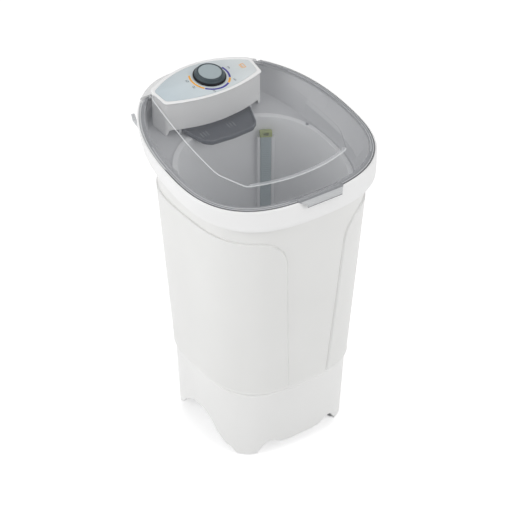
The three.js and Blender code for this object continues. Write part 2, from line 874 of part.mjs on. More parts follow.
function tubGeometry() {
  const outerFloor = inset(tubBottom, -skin);
  const roundInset = tubFloorRound * tubRoundShare;
  const shell = loft([
    ring(inset(tubBottom, tubFloorRound), () => tubUnderside),
    ring(inset(outerFloor, roundInset), () => tubUnderside + roundInset),
    ring(outerFloor, () => tubUnderside + tubFloorRound),
    rimRing(inset(tubTop, -skin), flangeLow),
    rimRing(inset(tubTop, -skin - tubFlangeWidth), flangeLow),
    rimRing(inset(tubTop, -skin - tubFlangeWidth), flangeTop),
    rimRing(tubTop, flangeTop),
    ring(tubBottom, () => tubFloorHeight + tubFloorRound),
    ring(inset(tubBottom, roundInset), () => tubFloorHeight + roundInset),
    ring(inset(tubBottom, tubFloorRound), () => tubFloorHeight),
  ]);
  const shaftHole = rod(bearingOuterRadius, tubUnderside - overrun, tubFloorHeight + overrun)
    .translate(0, driveY, 0);
  const drainHole = rod(drainBore, tubUnderside - overrun, tubFloorHeight + overrun, smallSides)
    .translate(drainX, drainY, 0);
  const screwHoles = tubScrewPlaces().map(([x, y]) => onRim(rod(screwRadius + seatGap, flangeLow - overrun,
    flangeTop + overrun, smallSides).translate(x, y, 0)));
  return cut(shell, shaftHole, drainHole, ...screwHoles);
}

function belowHeight(top) {
  return block(-2 * rimHalfWidth, 2 * rimHalfWidth, -2 * rimRearDepth, 2 * rimRearDepth, 0, top);
}

function filterGuideGeometry() {
  const guide = filterBlock(filterBackWidth / 2 + filterLipWidth, guideDepth + skin - filterProud,
    -2 * skin, filterBottom - skin, filterTop).applyMatrix4(filterFrame);
  const channel = filterBody(slideGap, filterBottom, filterTop + overrun).applyMatrix4(filterFrame);
  const room = loft([
    ring(inset(tubBottom, seatGap), () => tubSeamHeight),
    rimRing(inset(tubTop, seatGap), flangeTop),
  ]);
  return common(cut(guide, channel), room);
}

const tubSolid = tubGeometry();
addPart('wash_tub', cut(tubSolid, belowHeight(tubSeamHeight + seatGap)), white);
addPart('tub_floor', common(tubSolid, belowHeight(tubSeamHeight)), white);
addPart('filter_guide', filterGuideGeometry(), white);

tubScrewPlaces().forEach(([x, y], k) => {
  const screw = screwGeometry(tubFlangeThickness + skin);
  addPart(`tub_screw_${k + 1}`, onRim(screw.translate(x, y, flangeTop + seatGap)), steel);
});

// Lint filter: a slotted column with a green cap and a finger loop

function filterGeometry() {
  const body = filterBody(0, filterBottom + seatGap, filterTop);
  const slots = [];
  const pitch = (filterTop - filterBottom) / filterSlotCount;
  for (let k = 1; k < filterSlotCount; k++) {
    const z = filterBottom + k * pitch;
    slots.push(block(-filterWidth / 3, filterWidth / 3, -guideDepth - skin - overrun,
      -guideDepth - skin + filterSlotDepth, z, z + pitch * filterSlotShare));
  }
  return cut(body, ...slots).applyMatrix4(filterFrame);
}

function filterCapGeometry() {
  const low = filterTop + seatGap;
  const front = guideDepth + skin;
  const halfWidth = filterWidth / 2 + filterCapGrow;
  const cap = filterBlock(halfWidth, front + filterCapGrow, skin, low, low + filterCapHeight);
  const loop = filterBlock(filterLoopWidth / 2, front + 2 * filterCapGrow, skin - overrun,
    low + filterCapHeight / 4, low + filterCapHeight / 4 + filterLoopHeight);
  return cut(cap, loop).applyMatrix4(filterFrame);
}

addPart('lint_filter', filterGeometry(), trayDark);
addPart('filter_cap', filterCapGeometry(), filterGreen);

// Console housing, plate and label

function rearHalfSpace(y, low, high) {
  const far = 2 * rimRearDepth;
  return onRim(block(-far, far, y, far, low, high));
}

function consoleHousingGeometry() {
  const shell = cut(
    consolePrism(-housingInset, housingBottom, housingTop),
    consolePrism(-housingInset - skin, housingBottom - overrun, housingTop - skin));
  const far = 2 * rimRearDepth;
  const frontLow = onRim(block(-far, far, -far, consoleFrontTipY + skin,
    housingBottom - overrun, -consoleSkirtDrop));
  const shaftHole = onFace(rod(timerHoleRadius, -2 * consoleTop, consoleTop));
  const axisZ = rimZ(hingeY) + hingeLift;
  const pinHole = crossRod(hingePinRadius + seatGap, -consoleRearHalf, consoleRearHalf)
    .translate(0, hingeY, axisZ);
  const foot = common(
    cut(consolePrism(-housingInset - skin, housingBottom, housingBottom + skin),
      consolePrism(-housingInset - 3 * skin, housingBottom - overrun, housingBottom + 2 * skin)),
    rearHalfSpace(trayRearY, housingBottom - overrun, housingBottom + 2 * skin));
  return cut(join(shell, foot), frontLow, shaftHole, pinHole);
}

function consolePlateGeometry() {
  const low = consoleTop - consolePlateThickness;
  const recess = consolePrism(-frameWidth, consoleTop - labelThickness - 2 * seatGap, consoleTop + overrun);
  const hole = onFace(rod(timerHoleRadius, -2 * consoleTop, consoleTop));
  return cut(consolePrism(0, low, consoleTop), recess, hole);
}

function consoleLabelGeometry() {
  const low = consoleTop - labelThickness - seatGap;
  return cut(
    consolePrism(-frameWidth - seatGap, low, low + labelThickness),
    onFace(rod(timerHoleRadius, -2 * consoleTop, consoleTop)));
}

addPart('console_housing', consoleHousingGeometry(), white);
addPart('console_plate', consolePlateGeometry(), white);
addPart('console_label', consoleLabelGeometry(), labelGrey);

// Timer under the console's top, its shaft and the knob

const timerTop = -(consoleTop - housingTop + skin) * Math.cos(slopeAngle) - seatGap;

function timerGeometry() {
  const body = block(timerOffset - timerWidth / 2, timerOffset + timerWidth / 2,
    -timerDepth / 2, timerDepth / 2, timerTop - timerHeight, timerTop);
  const bore = rod(timerShaftRadius + seatGap, timerTop - timerShaftSink - seatGap,
    timerTop + overrun, smallSides);
  return onFace(cut(body, bore));
}

function knobGeometry() {
  const top = knobLift + knobHeight;
  const edge = knobLift + knobEdgeHeight;
  const body = turned([
    [0, knobLift], [knobSkirtRadius, knobLift], [knobSkirtRadius, edge],
    [knobSkirtRadius - knobStepWidth, edge + knobStepRise],
    [knobGripRadius + knobGripFlare, top - knobGripDrop],
    [knobGripRadius, top - knobGripRound], [knobGripRadius - knobGripRound, top], [0, top]], 2 * roundSides);
  const reachIn = knobSkirtRadius - pointerLength;
  const pointer = block(-pointerWidth / 2, pointerWidth / 2, reachIn, knobSkirtRadius,
    knobLift + knobEdgeHeight / 2, edge + pointerRise);
  const seat = rod(knobCapRadius + seatGap, top - knobCapThickness, top + overrun, 2 * roundSides);
  const bore = rod(timerShaftRadius + seatGap, -overrun, top - 2 * knobCapThickness, smallSides);
  return onFace(cut(join(body, pointer), seat, bore));
}

function knobCapGeometry() {
  const low = knobLift + knobHeight - knobCapThickness + seatGap;
  return onFace(rod(knobCapRadius, low, low + knobCapThickness, 2 * roundSides));
}

function timerShaftGeometry() {
  const high = knobLift + knobHeight - 2 * knobCapThickness - seatGap;
  return onFace(rod(timerShaftRadius, timerTop - timerShaftSink, high, smallSides));
}

addPart('timer_mechanism', timerGeometry(), palePlastic);
addPart('timer_shaft', timerShaftGeometry(), steel);
addPart('timer_knob', knobGeometry(), slate);
addPart('knob_cap', knobCapGeometry(), capGrey);

// Lid with its raised middle, handle lip and hinge lugs

function ridgeRise(y) {
  const share = (y + ridgeFrontDepth) / (consoleFrontY + ridgeFrontDepth);
  return ridgeFrontRise + (ridgeRearRise - ridgeFrontRise) * Math.min(share, 1);
}

function lidGeometry() {
  const edge = inset(rimOutline, beadWidth + lidEdgeGap);
  const flangeInner = inset(edge, lidFlangeWidth);
  const low = -seatDrop + seatGap;
  const high = low + lidWall;
  const bandIn = (y) => ridgeRise(y) - ridgeBevelDrop;
  const body = loft([
    rimRing(inset(ridge, lidWall / 2), (y) => ridgeRise(y) - lidWall),
    rimRing(inset(ridge, lidWall / 2 - ridgeBevelWidth), (y) => bandIn(y) - lidWall),
    rimRing(inset(flangeInner, 2 * lidWall), low + lidStepRise),
    rimRing(inset(flangeInner, lidWall), low),
    rimRing(edge, low),
    rimRing(edge, high),
    rimRing(flangeInner, high),
    rimRing(inset(flangeInner, lidWall), high + lidStepRise),
    rimRing(inset(ridge, -ridgeBevelWidth), bandIn),
    rimRing(ridge, ridgeRise),
  ]);
  const swingHalf = consoleRearHalf + notchGap;
  const swing = onRim(block(-swingHalf, swingHalf, hingeY - notchSwingLength, hingeY + pocketHalfLength,
    -pocketDepth, 4 * consoleTop));
  const notch = join(consolePrism(notchGap, -pocketDepth, 4 * consoleTop), swing);
  const rearCut = rearHalfSpace(hingeY + hingeRearReach, -pocketDepth, 4 * consoleTop);
  const frontY = rimCentreY - rimFrontDepth;
  const handle = onRim(prism([
    [handleOffset - handleHalfWidth, frontY + 3 * handleThickness],
    [handleOffset - handleHalfWidth, frontY + handleThickness],
    [handleOffset - handleTipHalfWidth, frontY - handleReach],
    [handleOffset + handleTipHalfWidth, frontY - handleReach],
    [handleOffset + handleHalfWidth, frontY + handleThickness],
    [handleOffset + handleHalfWidth, frontY + 3 * handleThickness],
  ], seatGap, seatGap + handleThickness));
  const lip = onRim(block(handleOffset - handleTipHalfWidth, handleOffset + handleTipHalfWidth,
    frontY - handleReach, frontY - handleReach + handleThickness, -handleLipDrop, seatGap + handleThickness));
  const step = onRim(block(handleOffset - handleHalfWidth, handleOffset + handleHalfWidth,
    frontY + beadWidth + 2 * lidEdgeGap, frontY + beadWidth + lidFlangeWidth,
    low, seatGap + handleThickness));
  const solid = cut(join(body, common(step, loft([rimRing(edge, low), rimRing(edge, 2 * handleThickness)])),
    handle, lip), notch, rearCut);
  const axisZ = rimZ(hingeY) + hingeLift;
  const lugs = [-1, 1].map((side) => {
    const inner = side * lugInner;
    const outer = side * (lugInner + hingeLugWidth);
    return crossRod(hingeLugRadius, Math.min(inner, outer), Math.max(inner, outer))
      .translate(0, hingeY, axisZ);
  });
  const bore = crossRod(hingePinRadius + seatGap, -rimHalfWidth, rimHalfWidth, smallSides)
    .translate(0, hingeY, axisZ);
  return cut(join(solid, ...lugs), bore);
}

addPart('lid', lidGeometry(), smoke);

[['left', -1], ['right', 1]].forEach(([name, side]) => {
  const wallInner = consoleRearHalf - housingInset - skin - seatGap;
  const head = crossRod(hingePinHeadRadius, wallInner - hingePinHeadLength - overrun,
    wallInner - overrun, smallSides);
  const pin = crossRod(hingePinRadius, wallInner - hingePinHeadLength, lugInner + hingeLugWidth, smallSides);
  const geometry = join(head, pin).translate(0, hingeY, rimZ(hingeY) + hingeLift);
  if (side < 0) geometry.rotateZ(Math.PI).translate(0, 2 * hingeY, 0);
  addPart(`hinge_pin_${name}`, geometry, steel);
});

// Soap tray that slides forward over the tub, between two rails on the deck

function trayOutline(amount) {
  const width = trayHalfWidth - amount;
  const front = trayFrontY + amount;
  const rear = trayRearY - amount;
  const right = trayCornerShares.map(([across, along]) => [across * width, front + along * (rear - front)]);
  const left = right.slice(0, -1).reverse().map(([x, y]) => [-x, y]);
  return [[width, rear], ...right, ...left, [-width, rear]];
}

function trayGeometry() {
  const low = flangeTop + slideGap;
  const body = onRim(prism(trayOutline(0), low, low + trayHeight));
  const room = onRim(prism(trayOutline(trayWall), low + trayWall, low + trayHeight + overrun));
  return cut(body, room);
}

addPart('soap_tray', trayGeometry(), trayDark);

[['left', -1], ['right', 1]].forEach(([name, side]) => {
  const near = side * (trayHalfWidth + slideGap);
  const far = side * (trayHalfWidth + slideGap + railWidth);
  const low = deckTop + seatGap;
  const lipLow = flangeTop + 2 * slideGap + trayHeight;
  const upright = block(Math.min(near, far), Math.max(near, far), trayRearY - railLength, trayRearY,
    low, lipLow + trayWall);
  const over = side * (trayHalfWidth - railWidth / 2);
  const lip = block(Math.min(over, far), Math.max(over, far), trayRearY - railLength, trayRearY,
    lipLow, lipLow + trayWall);
  addPart(`tray_rail_${name}`, join(onRim(upright), onRim(lip)), palePlastic);
});

// Water inlet under the rear overhang, and the duct that leads over the tray

function inletGeometry() {
  const high = deckTop + skin;
  const under = deckBottom - seatGap;
  const neck = inletRadius - overrun;
  const tip = under - inletLength;
  const flange = under - inletFlangeThickness;
  const profile = [[inletBore, high], [inletBore, tip], [inletRadius, tip], [inletRadius, flange],
    [inletFlangeRadius, flange], [inletFlangeRadius, under], [neck, under], [neck, high], [inletBore, high]];
  return onRim(turned(profile).translate(inletX, inletY, 0));
}

addPart('inlet_nozzle', inletGeometry(), palePlastic);

const ductStart = rimZ(inletY) + deckTop + skin + seatGap + overrun;
addPart('water_duct', pipe([
  [inletX, inletY, ductStart], [inletX, inletY, ductStart + ductRise / 2],
  [inletX, inletY - ductRise / 2, ductStart + ductRise],
  [inletX, inletY - ductReach / 2, ductStart + ductRise],
  [inletX, inletY - ductReach + ductRise / 2, ductStart + ductRise],
  [inletX, inletY - ductReach, ductStart + ductRise / 2],
  [inletX, inletY - ductReach, ductStart + ductEndRise],
], ductRadius, ductBore, pipeSteps, pipeSides), palePlastic);

// Agitator, its shaft, bearings, seal and driven pulley

const drive = new THREE.Group();
drive.position.set(0, driveY, 0);
machine.add(drive);

function agitatorGeometry() {
  const low = tubFloorHeight + agitatorLift;
  const top = low + agitatorDomeHeight;
  const dome = turned([[0, low], [agitatorRadius, low], [agitatorRadius, low + agitatorRimHeight],
    ...agitatorDomeShares.map(([out, up]) => [agitatorRadius * out, low + agitatorDomeHeight * up]),
    [agitatorHubRadius, top - agitatorRimHeight], [agitatorHubRadius * agitatorTipShare, top], [0, top]],
  2 * roundSides);
  const vanes = [];
  for (let k = 0; k < vaneCount; k++) {
    const vane = prism([[agitatorHubRadius / 2, 0], [agitatorRadius - vaneInset, 0],
      [agitatorRadius - vaneInset - vaneSlant, vaneHeight * vaneTipShare],
      [agitatorHubRadius / 2, vaneHeight + agitatorRimHeight]],
    -vaneThickness / 2, vaneThickness / 2).rotateX(Math.PI / 2).translate(0, 0, low + agitatorRimHeight / 2);
    vanes.push(vane.rotateZ((2 * Math.PI * k) / vaneCount));
  }
  const bore = rod(driveShaftRadius + seatGap, low - overrun, top - 2 * agitatorRimHeight, smallSides);
  return cut(join(dome, ...vanes), bore);
}

addPart('agitator', agitatorGeometry(), white, drive);
const shaftTop = tubFloorHeight + agitatorLift + agitatorDomeHeight - 2 * agitatorRimHeight - seatGap;
const shaftLow = pulleyBottom - pulleyFlange;
addPart('agitator_shaft', rod(driveShaftRadius, shaftLow, shaftTop, smallSides), steel, drive);

const housingHigh = tubUnderside - seatGap;
const housingLow = housingHigh - bearingHousingLength;

function quarterTurns(radius) {
  return [1, 3, 5, 7].map((eighth) => {
    const angle = (eighth * Math.PI) / 4;
    return [radius * Math.cos(angle), radius * Math.sin(angle)];
  });
}

function bearingHousingGeometry() {
  const flangeBase = housingHigh - bearingFlangeThickness;
  const body = turned([[driveShaftRadius + 2 * skin, housingLow], [bearingHousingRadius, housingLow],
    [bearingHousingRadius, flangeBase], [bearingFlangeRadius, flangeBase],
    [bearingFlangeRadius, housingHigh], [driveShaftRadius + 2 * skin, housingHigh],
    [driveShaftRadius + 2 * skin, housingLow]]);
  const seats = [[housingLow - overrun, housingLow + bearingHeight + seatGap],
    [housingHigh - bearingHeight - seatGap, housingHigh + overrun]]
    .map(([low, high]) => rod(bearingOuterRadius + seatGap, low, high));
  const holes = quarterTurns(bearingScrewCircle)
    .map(([x, y]) => rod(screwRadius + seatGap, housingLow, housingHigh + overrun, smallSides)
      .translate(x, y, 0));
  return cut(body, ...seats, ...holes);
}

addPart('bearing_housing', bearingHousingGeometry(), motorGrey, drive);
const bearingBore = driveShaftRadius + seatGap;
addPart('lower_bearing', ringPart(bearingOuterRadius, bearingBore,
  housingLow, housingLow + bearingHeight), steel, drive);
addPart('upper_bearing', ringPart(bearingOuterRadius, bearingBore,
  housingHigh - bearingHeight, housingHigh), steel, drive);
addPart('shaft_seal', ringPart(bearingOuterRadius - seatGap, bearingBore,
  housingHigh + seatGap, housingHigh + seatGap + sealHeight - overrun), blackRubber, drive);

quarterTurns(bearingScrewCircle).forEach(([x, y], k) => {
  const screw = screwGeometry(bearingFlangeThickness).rotateX(Math.PI)
    .translate(x, y, housingHigh - bearingFlangeThickness - seatGap);
  addPart(`bearing_screw_${k + 1}`, screw, steel, drive);
});

function pulleyGeometry(radius, bore) {
  const low = pulleyBottom;
  const high = pulleyBottom + pulleyHeight;
  const groove = radius - grooveDepth;
  const rimIn = Math.max(groove - pulleyRimThickness, bore);
  const middle = (low + high) / 2;
  const solidHub = rimIn <= pulleyHubRadius;
  const inside = solidHub ? [[bore, high]] : [[rimIn, high], [rimIn, middle + pulleyWeb / 2],
    [pulleyHubRadius, middle + pulleyWeb / 2], [pulleyHubRadius, high], [bore, high]];
  const under = solidHub ? [] : [[pulleyHubRadius, low], [pulleyHubRadius, middle - pulleyWeb / 2],
    [rimIn, middle - pulleyWeb / 2], [rimIn, low]];
  return turned([[bore, low], ...under, [radius, low], [radius, low + pulleyFlange],
    [groove, low + pulleyFlange + grooveSlant], [groove, high - pulleyFlange - grooveSlant],
    [radius, high - pulleyFlange], [radius, high], ...inside, [bore, low]]);
}

addPart('driven_pulley', pulleyGeometry(drivenPulleyRadius, bearingBore), motorGrey, drive);

// Motor on its bracket under the tub floor, and the belt

const motor = new THREE.Group();
motor.position.set(motorX, motorY, 0);
machine.add(motor);


function motorGeometry() {
  const waist = motorRadius - motorWaist;
  const body = turned([[0, motorLow - motorBossHeight], [motorBossRadius, motorLow - motorBossHeight],
    [motorBossRadius, motorLow], [waist, motorLow], [motorRadius, motorLow + motorWaist],
    ...motorBandShares.map(([out, up]) => [waist + out * motorWaist, motorLow + motorHeight * up]),
    [motorRadius, motorHigh - motorWaist], [waist, motorHigh], [0, motorHigh]]);
  const bore = rod(motorShaftRadius + seatGap, motorLow - motorBossHeight - overrun,
    motorLow + 3 * motorBossHeight, smallSides);
  return cut(body, bore);
}

function bracketGeometry() {
  const plate = rod(motorRadius + bracketMargin, bracketHigh - bracketThickness, bracketHigh);
  const clear = rod(bearingFlangeRadius + skin, bracketHigh - 2 * bracketThickness, bracketHigh + overrun)
    .translate(-motorX, driveY - motorY, 0);
  const holes = motorScrewPlaces().map(([x, y]) => rod(screwRadius + seatGap,
    bracketHigh - 2 * bracketThickness, bracketHigh + overrun, smallSides).translate(x, y, 0));
  return cut(plate, clear, ...holes);
}

function motorScrewPlaces() {
  return motorScrewShares.map((turn) => {
    const angle = 2 * Math.PI * turn;
    const reach = motorRadius + motorScrewMargin;
    return [reach * Math.cos(angle), reach * Math.sin(angle)];
  });
}

addPart('motor_bracket', bracketGeometry(), steel, motor);
addPart('motor_housing', motorGeometry(), motorGrey, motor);
addPart('motor_shaft', rod(motorShaftRadius, pulleyBottom - pulleyFlange,
  motorLow + 2 * motorBossHeight, smallSides), steel, motor);
addPart('motor_pulley', pulleyGeometry(motorPulleyRadius, motorShaftRadius + seatGap), motorGrey, motor);
motorScrewPlaces().forEach(([x, y], k) => {
  const screw = screwGeometry(bracketThickness).rotateX(Math.PI)
    .translate(x, y, bracketHigh - bracketThickness - seatGap);
  addPart(`motor_screw_${k + 1}`, screw, steel, motor);
});

function beltLoop(largeRadius, smallRadius) {
  const distance = Math.hypot(motorX, motorY - driveY);
  const heading = Math.atan2(motorY - driveY, motorX);
  const spread = Math.acos((largeRadius - smallRadius) / distance);
  const points = [];
  for (let k = 0; k <= roundSides; k++) {
    const angle = heading + spread + (k / roundSides) * (2 * Math.PI - 2 * spread);
    points.push([largeRadius * Math.cos(angle), driveY + largeRadius * Math.sin(angle)]);
  }
  for (let k = 0; k <= smallSides; k++) {
    const angle = heading - spread + (k / smallSides) * 2 * spread;
    points.push([motorX + smallRadius * Math.cos(angle), motorY + smallRadius * Math.sin(angle)]);
  }
  return points;
}

function beltGeometry() {
  const middle = pulleyBottom + pulleyHeight / 2;
  const inner = -grooveDepth + 2 * seatGap;
  const outerLoop = prism(beltLoop(drivenPulleyRadius, motorPulleyRadius),
    middle - beltHeight / 2, middle + beltHeight / 2);
  const innerLoop = prism(beltLoop(drivenPulleyRadius + inner, motorPulleyRadius + inner),
    middle - beltHeight, middle + beltHeight);
  return cut(outerLoop, innerLoop);
}

addPart('drive_belt', beltGeometry(), beltBlack);

// Capacitor and its clip under the tub floor

const capacitorTop = tubUnderside - 2 * seatGap - clipThickness;
const capacitorZ = capacitorTop - capacitorRadius;

function clipGeometry() {
  const outer = capacitorRadius + seatGap + clipThickness;
  const band = cut(
    crossRod(outer, -clipWidth / 2, clipWidth / 2),
    crossRod(capacitorRadius + seatGap, -clipWidth, clipWidth));
  const pad = block(-clipWidth / 2, clipWidth / 2, -outer, outer, outer - clipThickness, outer);
  const solid = join(band, cut(pad, crossRod(capacitorRadius + seatGap, -clipWidth, clipWidth)));
  return solid.translate(capacitorX, capacitorY, capacitorZ);
}

addPart('capacitor', crossRod(capacitorRadius, -capacitorLength / 2, capacitorLength / 2)
  .translate(capacitorX, capacitorY, capacitorZ), slate);
addPart('capacitor_clip', clipGeometry(), steel);

// Drain elbow from the tub floor out through the rear wall

const drainTop = tubUnderside - seatGap;
const drainWallY = cabinetOutline(drainExitHeight, 0).rearDepth;
addPart('drain_elbow', pipe([
  [drainX, drainY, drainTop], [drainX, drainY, drainTop - drainDrop / 2],
  [drainX, drainY + drainDrop / 3, drainExitHeight + drainDrop / 4],
  [drainX, drainY + drainDrop, drainExitHeight],
  [drainX, (drainY + drainDrop + drainWallY) / 2, drainExitHeight],
  [drainX, drainWallY + drainReach, drainExitHeight],
], drainRadius, drainBore, pipeSteps, pipeSides), blackRubber);

// Cord gland in the rear wall

function glandGeometry() {
  const wall = panelRise + skin;
  const gap = seatGap;
  const profile = [[glandBore, -glandLength], [glandNeck, -glandLength], [glandNeck, wall + gap],
    [glandRadius, wall + gap], [glandRadius - glandTaper, wall + glandLength],
    [glandBore, wall + glandLength],
    [glandBore, -glandLength]];
  const rearY = cabinetOutline(glandHeight, 0).rearDepth;
  return turned(profile, smallSides).rotateX(-Math.PI / 2).translate(glandX, rearY - wall, glandHeight);
}

addPart('cord_gland', glandGeometry(), blackRubber);

// Hose hook at the rear left corner of the collar

function hookGeometry() {
  const top = -collarHeight + hookPlateHeight;
  const low = -collarHeight - hookDrop;
  const side = [[0, top], [-hookPlateDepth, top], [-hookPlateDepth, -collarHeight - hookThickness],
    [-hookThickness, low], [hookReach, low + hookBend],
    [hookReach + hookBend, low + hookBend + hookRise],
    [hookReach + hookBend - hookThickness, low + hookBend + hookRise],
    [hookReach - hookThickness, low + hookBend + hookThickness], [0, low + hookThickness]];
  const upright = new THREE.Matrix4().makeBasis(
    new THREE.Vector3(0, 1, 0), new THREE.Vector3(0, 0, 1), new THREE.Vector3(1, 0, 0));
  const arm = prism(side, -hookWidth / 2, hookWidth / 2).applyMatrix4(upright).translate(hookX, hookY, 0);
  const collar = loft([
    rimRing(inset(collarOutline, -seatGap), -collarHeight - seatGap),
    rimRing(inset(rimOutline, -seatGap), 0),
  ]);
  const well = loft([
    rimRing(inset(wellBottom, -skin - seatGap), deckBottom - overrun),
    rimRing(inset(wellMid, -skin - seatGap), -wellMidDrop),
    rimRing(inset(wellTop, -skin - seatGap), 0),
  ]);
  return cut(onRim(arm), collar, well);
}

addPart('hose_hook', hookGeometry(), palePlastic);

const foremost = rimCentreY - rimFrontDepth - handleReach;
const rearmost = rimRearY;
machine.position.y = -(foremost + rearmost) / 2;

export default machine;
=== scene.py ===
"""Looks of a top-loading semi-automatic washer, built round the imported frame.

Sizes are in millimetres in the fit frame of the part's source, and go to metres in place().
"""

import math

import bmesh
import bpy
import numpy as np
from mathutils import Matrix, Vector


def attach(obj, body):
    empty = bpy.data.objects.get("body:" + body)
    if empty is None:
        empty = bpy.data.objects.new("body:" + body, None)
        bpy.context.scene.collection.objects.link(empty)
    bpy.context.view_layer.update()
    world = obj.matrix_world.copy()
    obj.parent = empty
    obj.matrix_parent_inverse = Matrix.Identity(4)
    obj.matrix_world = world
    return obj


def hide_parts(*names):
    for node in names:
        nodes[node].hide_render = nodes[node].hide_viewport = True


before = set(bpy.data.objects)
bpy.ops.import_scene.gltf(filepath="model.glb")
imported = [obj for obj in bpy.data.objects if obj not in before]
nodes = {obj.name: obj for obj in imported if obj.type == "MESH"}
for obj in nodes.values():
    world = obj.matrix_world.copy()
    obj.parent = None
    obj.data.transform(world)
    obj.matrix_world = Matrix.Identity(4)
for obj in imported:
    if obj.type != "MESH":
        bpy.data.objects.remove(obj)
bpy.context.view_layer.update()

# ---------------------------------------------------------------- sizes from the part's source

SHIFT_Y = -31.0  # from the source's frame to the row frame
RIM_HEIGHT = 791.0
RIM_SLOPE = 0.181
SLOPE = math.atan(RIM_SLOPE)
SKIN = 3.0
CABINET_TOP = 45.0  # below the rim
STEP_Z = 204.0
FOOT_TOP = 4.3
COVER_LOW, COVER_HIGH = 97.0, 100.0  # ledge that holds the bottom cover
PANEL_RISE = 4.0
PANEL_TOP = 661.0
PILLAR_X = 6.0
PILLAR_TOP, PILLAR_BOTTOM = 84.0, 59.0
PILLAR_FILLET = 75.0
PILLAR_LEAN = math.atan((PILLAR_TOP - PILLAR_BOTTOM) / (PANEL_TOP - PILLAR_FILLET - STEP_Z))
BODY_Y = -6.0  # middle of the rim and the tub
TUB_Y = -12.0  # axis of the agitator
TUB_FLOOR = 300.0
WELL_FLOOR = -77.0  # these four are measured from the rim
WELL_MID = -40.0
SEAT = -3.0
FACE = 14.0
KNOB = (13.5, 228.0)
KNOB_HOLE = 5.0
DECK_Y = 251.0  # front edge of the deck behind the console
HINGE_Y = 238.0
HINGE_LIFT = 2.0
HINGE_INNER, HINGE_OUTER = 144.6, 150.6
CONSOLE_GAP = 1.3
FILTER_TURN = 0.158


def rim_z(y):
    return RIM_HEIGHT + RIM_SLOPE * y


def place(points):
    """Millimetres in the source's frame to metres in the row frame."""
    out = np.array(points, dtype=float)
    out[:, 1] += SHIFT_Y
    return out * 0.001


def unit(vector):
    return vector / np.linalg.norm(vector)


# ---------------------------------------------------------------- outlines seen from above

def outline(width, front, rear, front_power, rear_power, taper=0.0, centre=BODY_Y):
    return dict(width=width, front=front, rear=rear, front_power=front_power,
                rear_power=rear_power, taper=taper, centre=centre)


def inset(shape, amount):
    return dict(shape, width=shape["width"] - amount, front=shape["front"] - amount,
                rear=shape["rear"] - amount)


def outline_points(shape, turn):
    angle = 2 * np.pi * np.asarray(turn)
    c, s = np.cos(angle), np.sin(angle)
    front = s < 0
    power = np.where(front, shape["front_power"], shape["rear_power"])
    depth = np.where(front, shape["front"], shape["rear"])
    along = np.abs(s) ** (2 / power)
    taper = np.where(front, 1.0, 1 - shape["taper"] * along ** 2)
    x = shape["width"] * np.sign(c) * np.abs(c) ** (2 / power) * taper
    x = np.where(np.abs(c) < 1e-9, 0.0, x)
    return np.stack([x, shape["centre"] + np.sign(s) * depth * along], -1)


HALF = np.geomspace(1e-7, 0.5, 400)
DENSE = np.concatenate([[0.0], HALF, 1 - HALF[::-1][1:], [1.0]])


def spread(shape, shares):
    """Points round the outline. shares holds, for each quarter, shares of its length in order."""
    rows = []
    for quarter in range(4):
        dense = outline_points(shape, (quarter + DENSE) / 4)
        steps = np.hypot(*np.diff(dense, axis=0).T)
        length = np.concatenate([[0], np.cumsum(steps)]) / steps.sum()
        rows.append(np.stack([np.interp(shares[quarter], length, dense[:, k]) for k in (0, 1)], -1))
    return np.concatenate(rows)


def even(count):
    return [np.arange(count) / count] * 4


def on_rim(flat, lift):
    """Points at a lift above the rim's sloping plane."""
    flat = np.asarray(flat, dtype=float)
    return np.column_stack([flat, rim_z(flat[:, 1]) + lift])


def rim_ring(shape, shares, lift):
    return on_rim(spread(shape, shares), lift)


def circle(centre, radius, count):
    angle = 2 * np.pi * np.arange(count) / count
    return np.column_stack([centre[0] + radius * np.cos(angle), centre[1] + radius * np.sin(angle)])


def toward(flat, centre, radius):
    """A circle with one point in the direction of each point of a loop."""
    angle = np.arctan2(flat[:, 1] - centre[1], flat[:, 0] - centre[0])
    return np.column_stack([centre[0] + radius * np.cos(angle), centre[1] + radius * np.sin(angle)])


def bend(start, corner, end, count):
    """A rounded corner."""
    t = np.linspace(0, 1, count)[:, None]
    return (1 - t) ** 2 * start + 2 * t * (1 - t) * corner + t * t * end


def rounded_rect(x0, x1, y0, y1, edge, count):
    """A rectangle with arcs at its corners."""
    loop = []
    left, right, near, far = x0 + edge, x1 - edge, y0 + edge, y1 - edge
    for turn, x, y in ((-90, right, near), (0, right, far), (90, left, far), (180, left, near)):
        for angle in np.radians(turn + np.linspace(0, 90, count)):
            loop.append((x + edge * math.cos(angle), y + edge * math.sin(angle)))
    return np.array(loop)


# ---------------------------------------------------------------- meshes

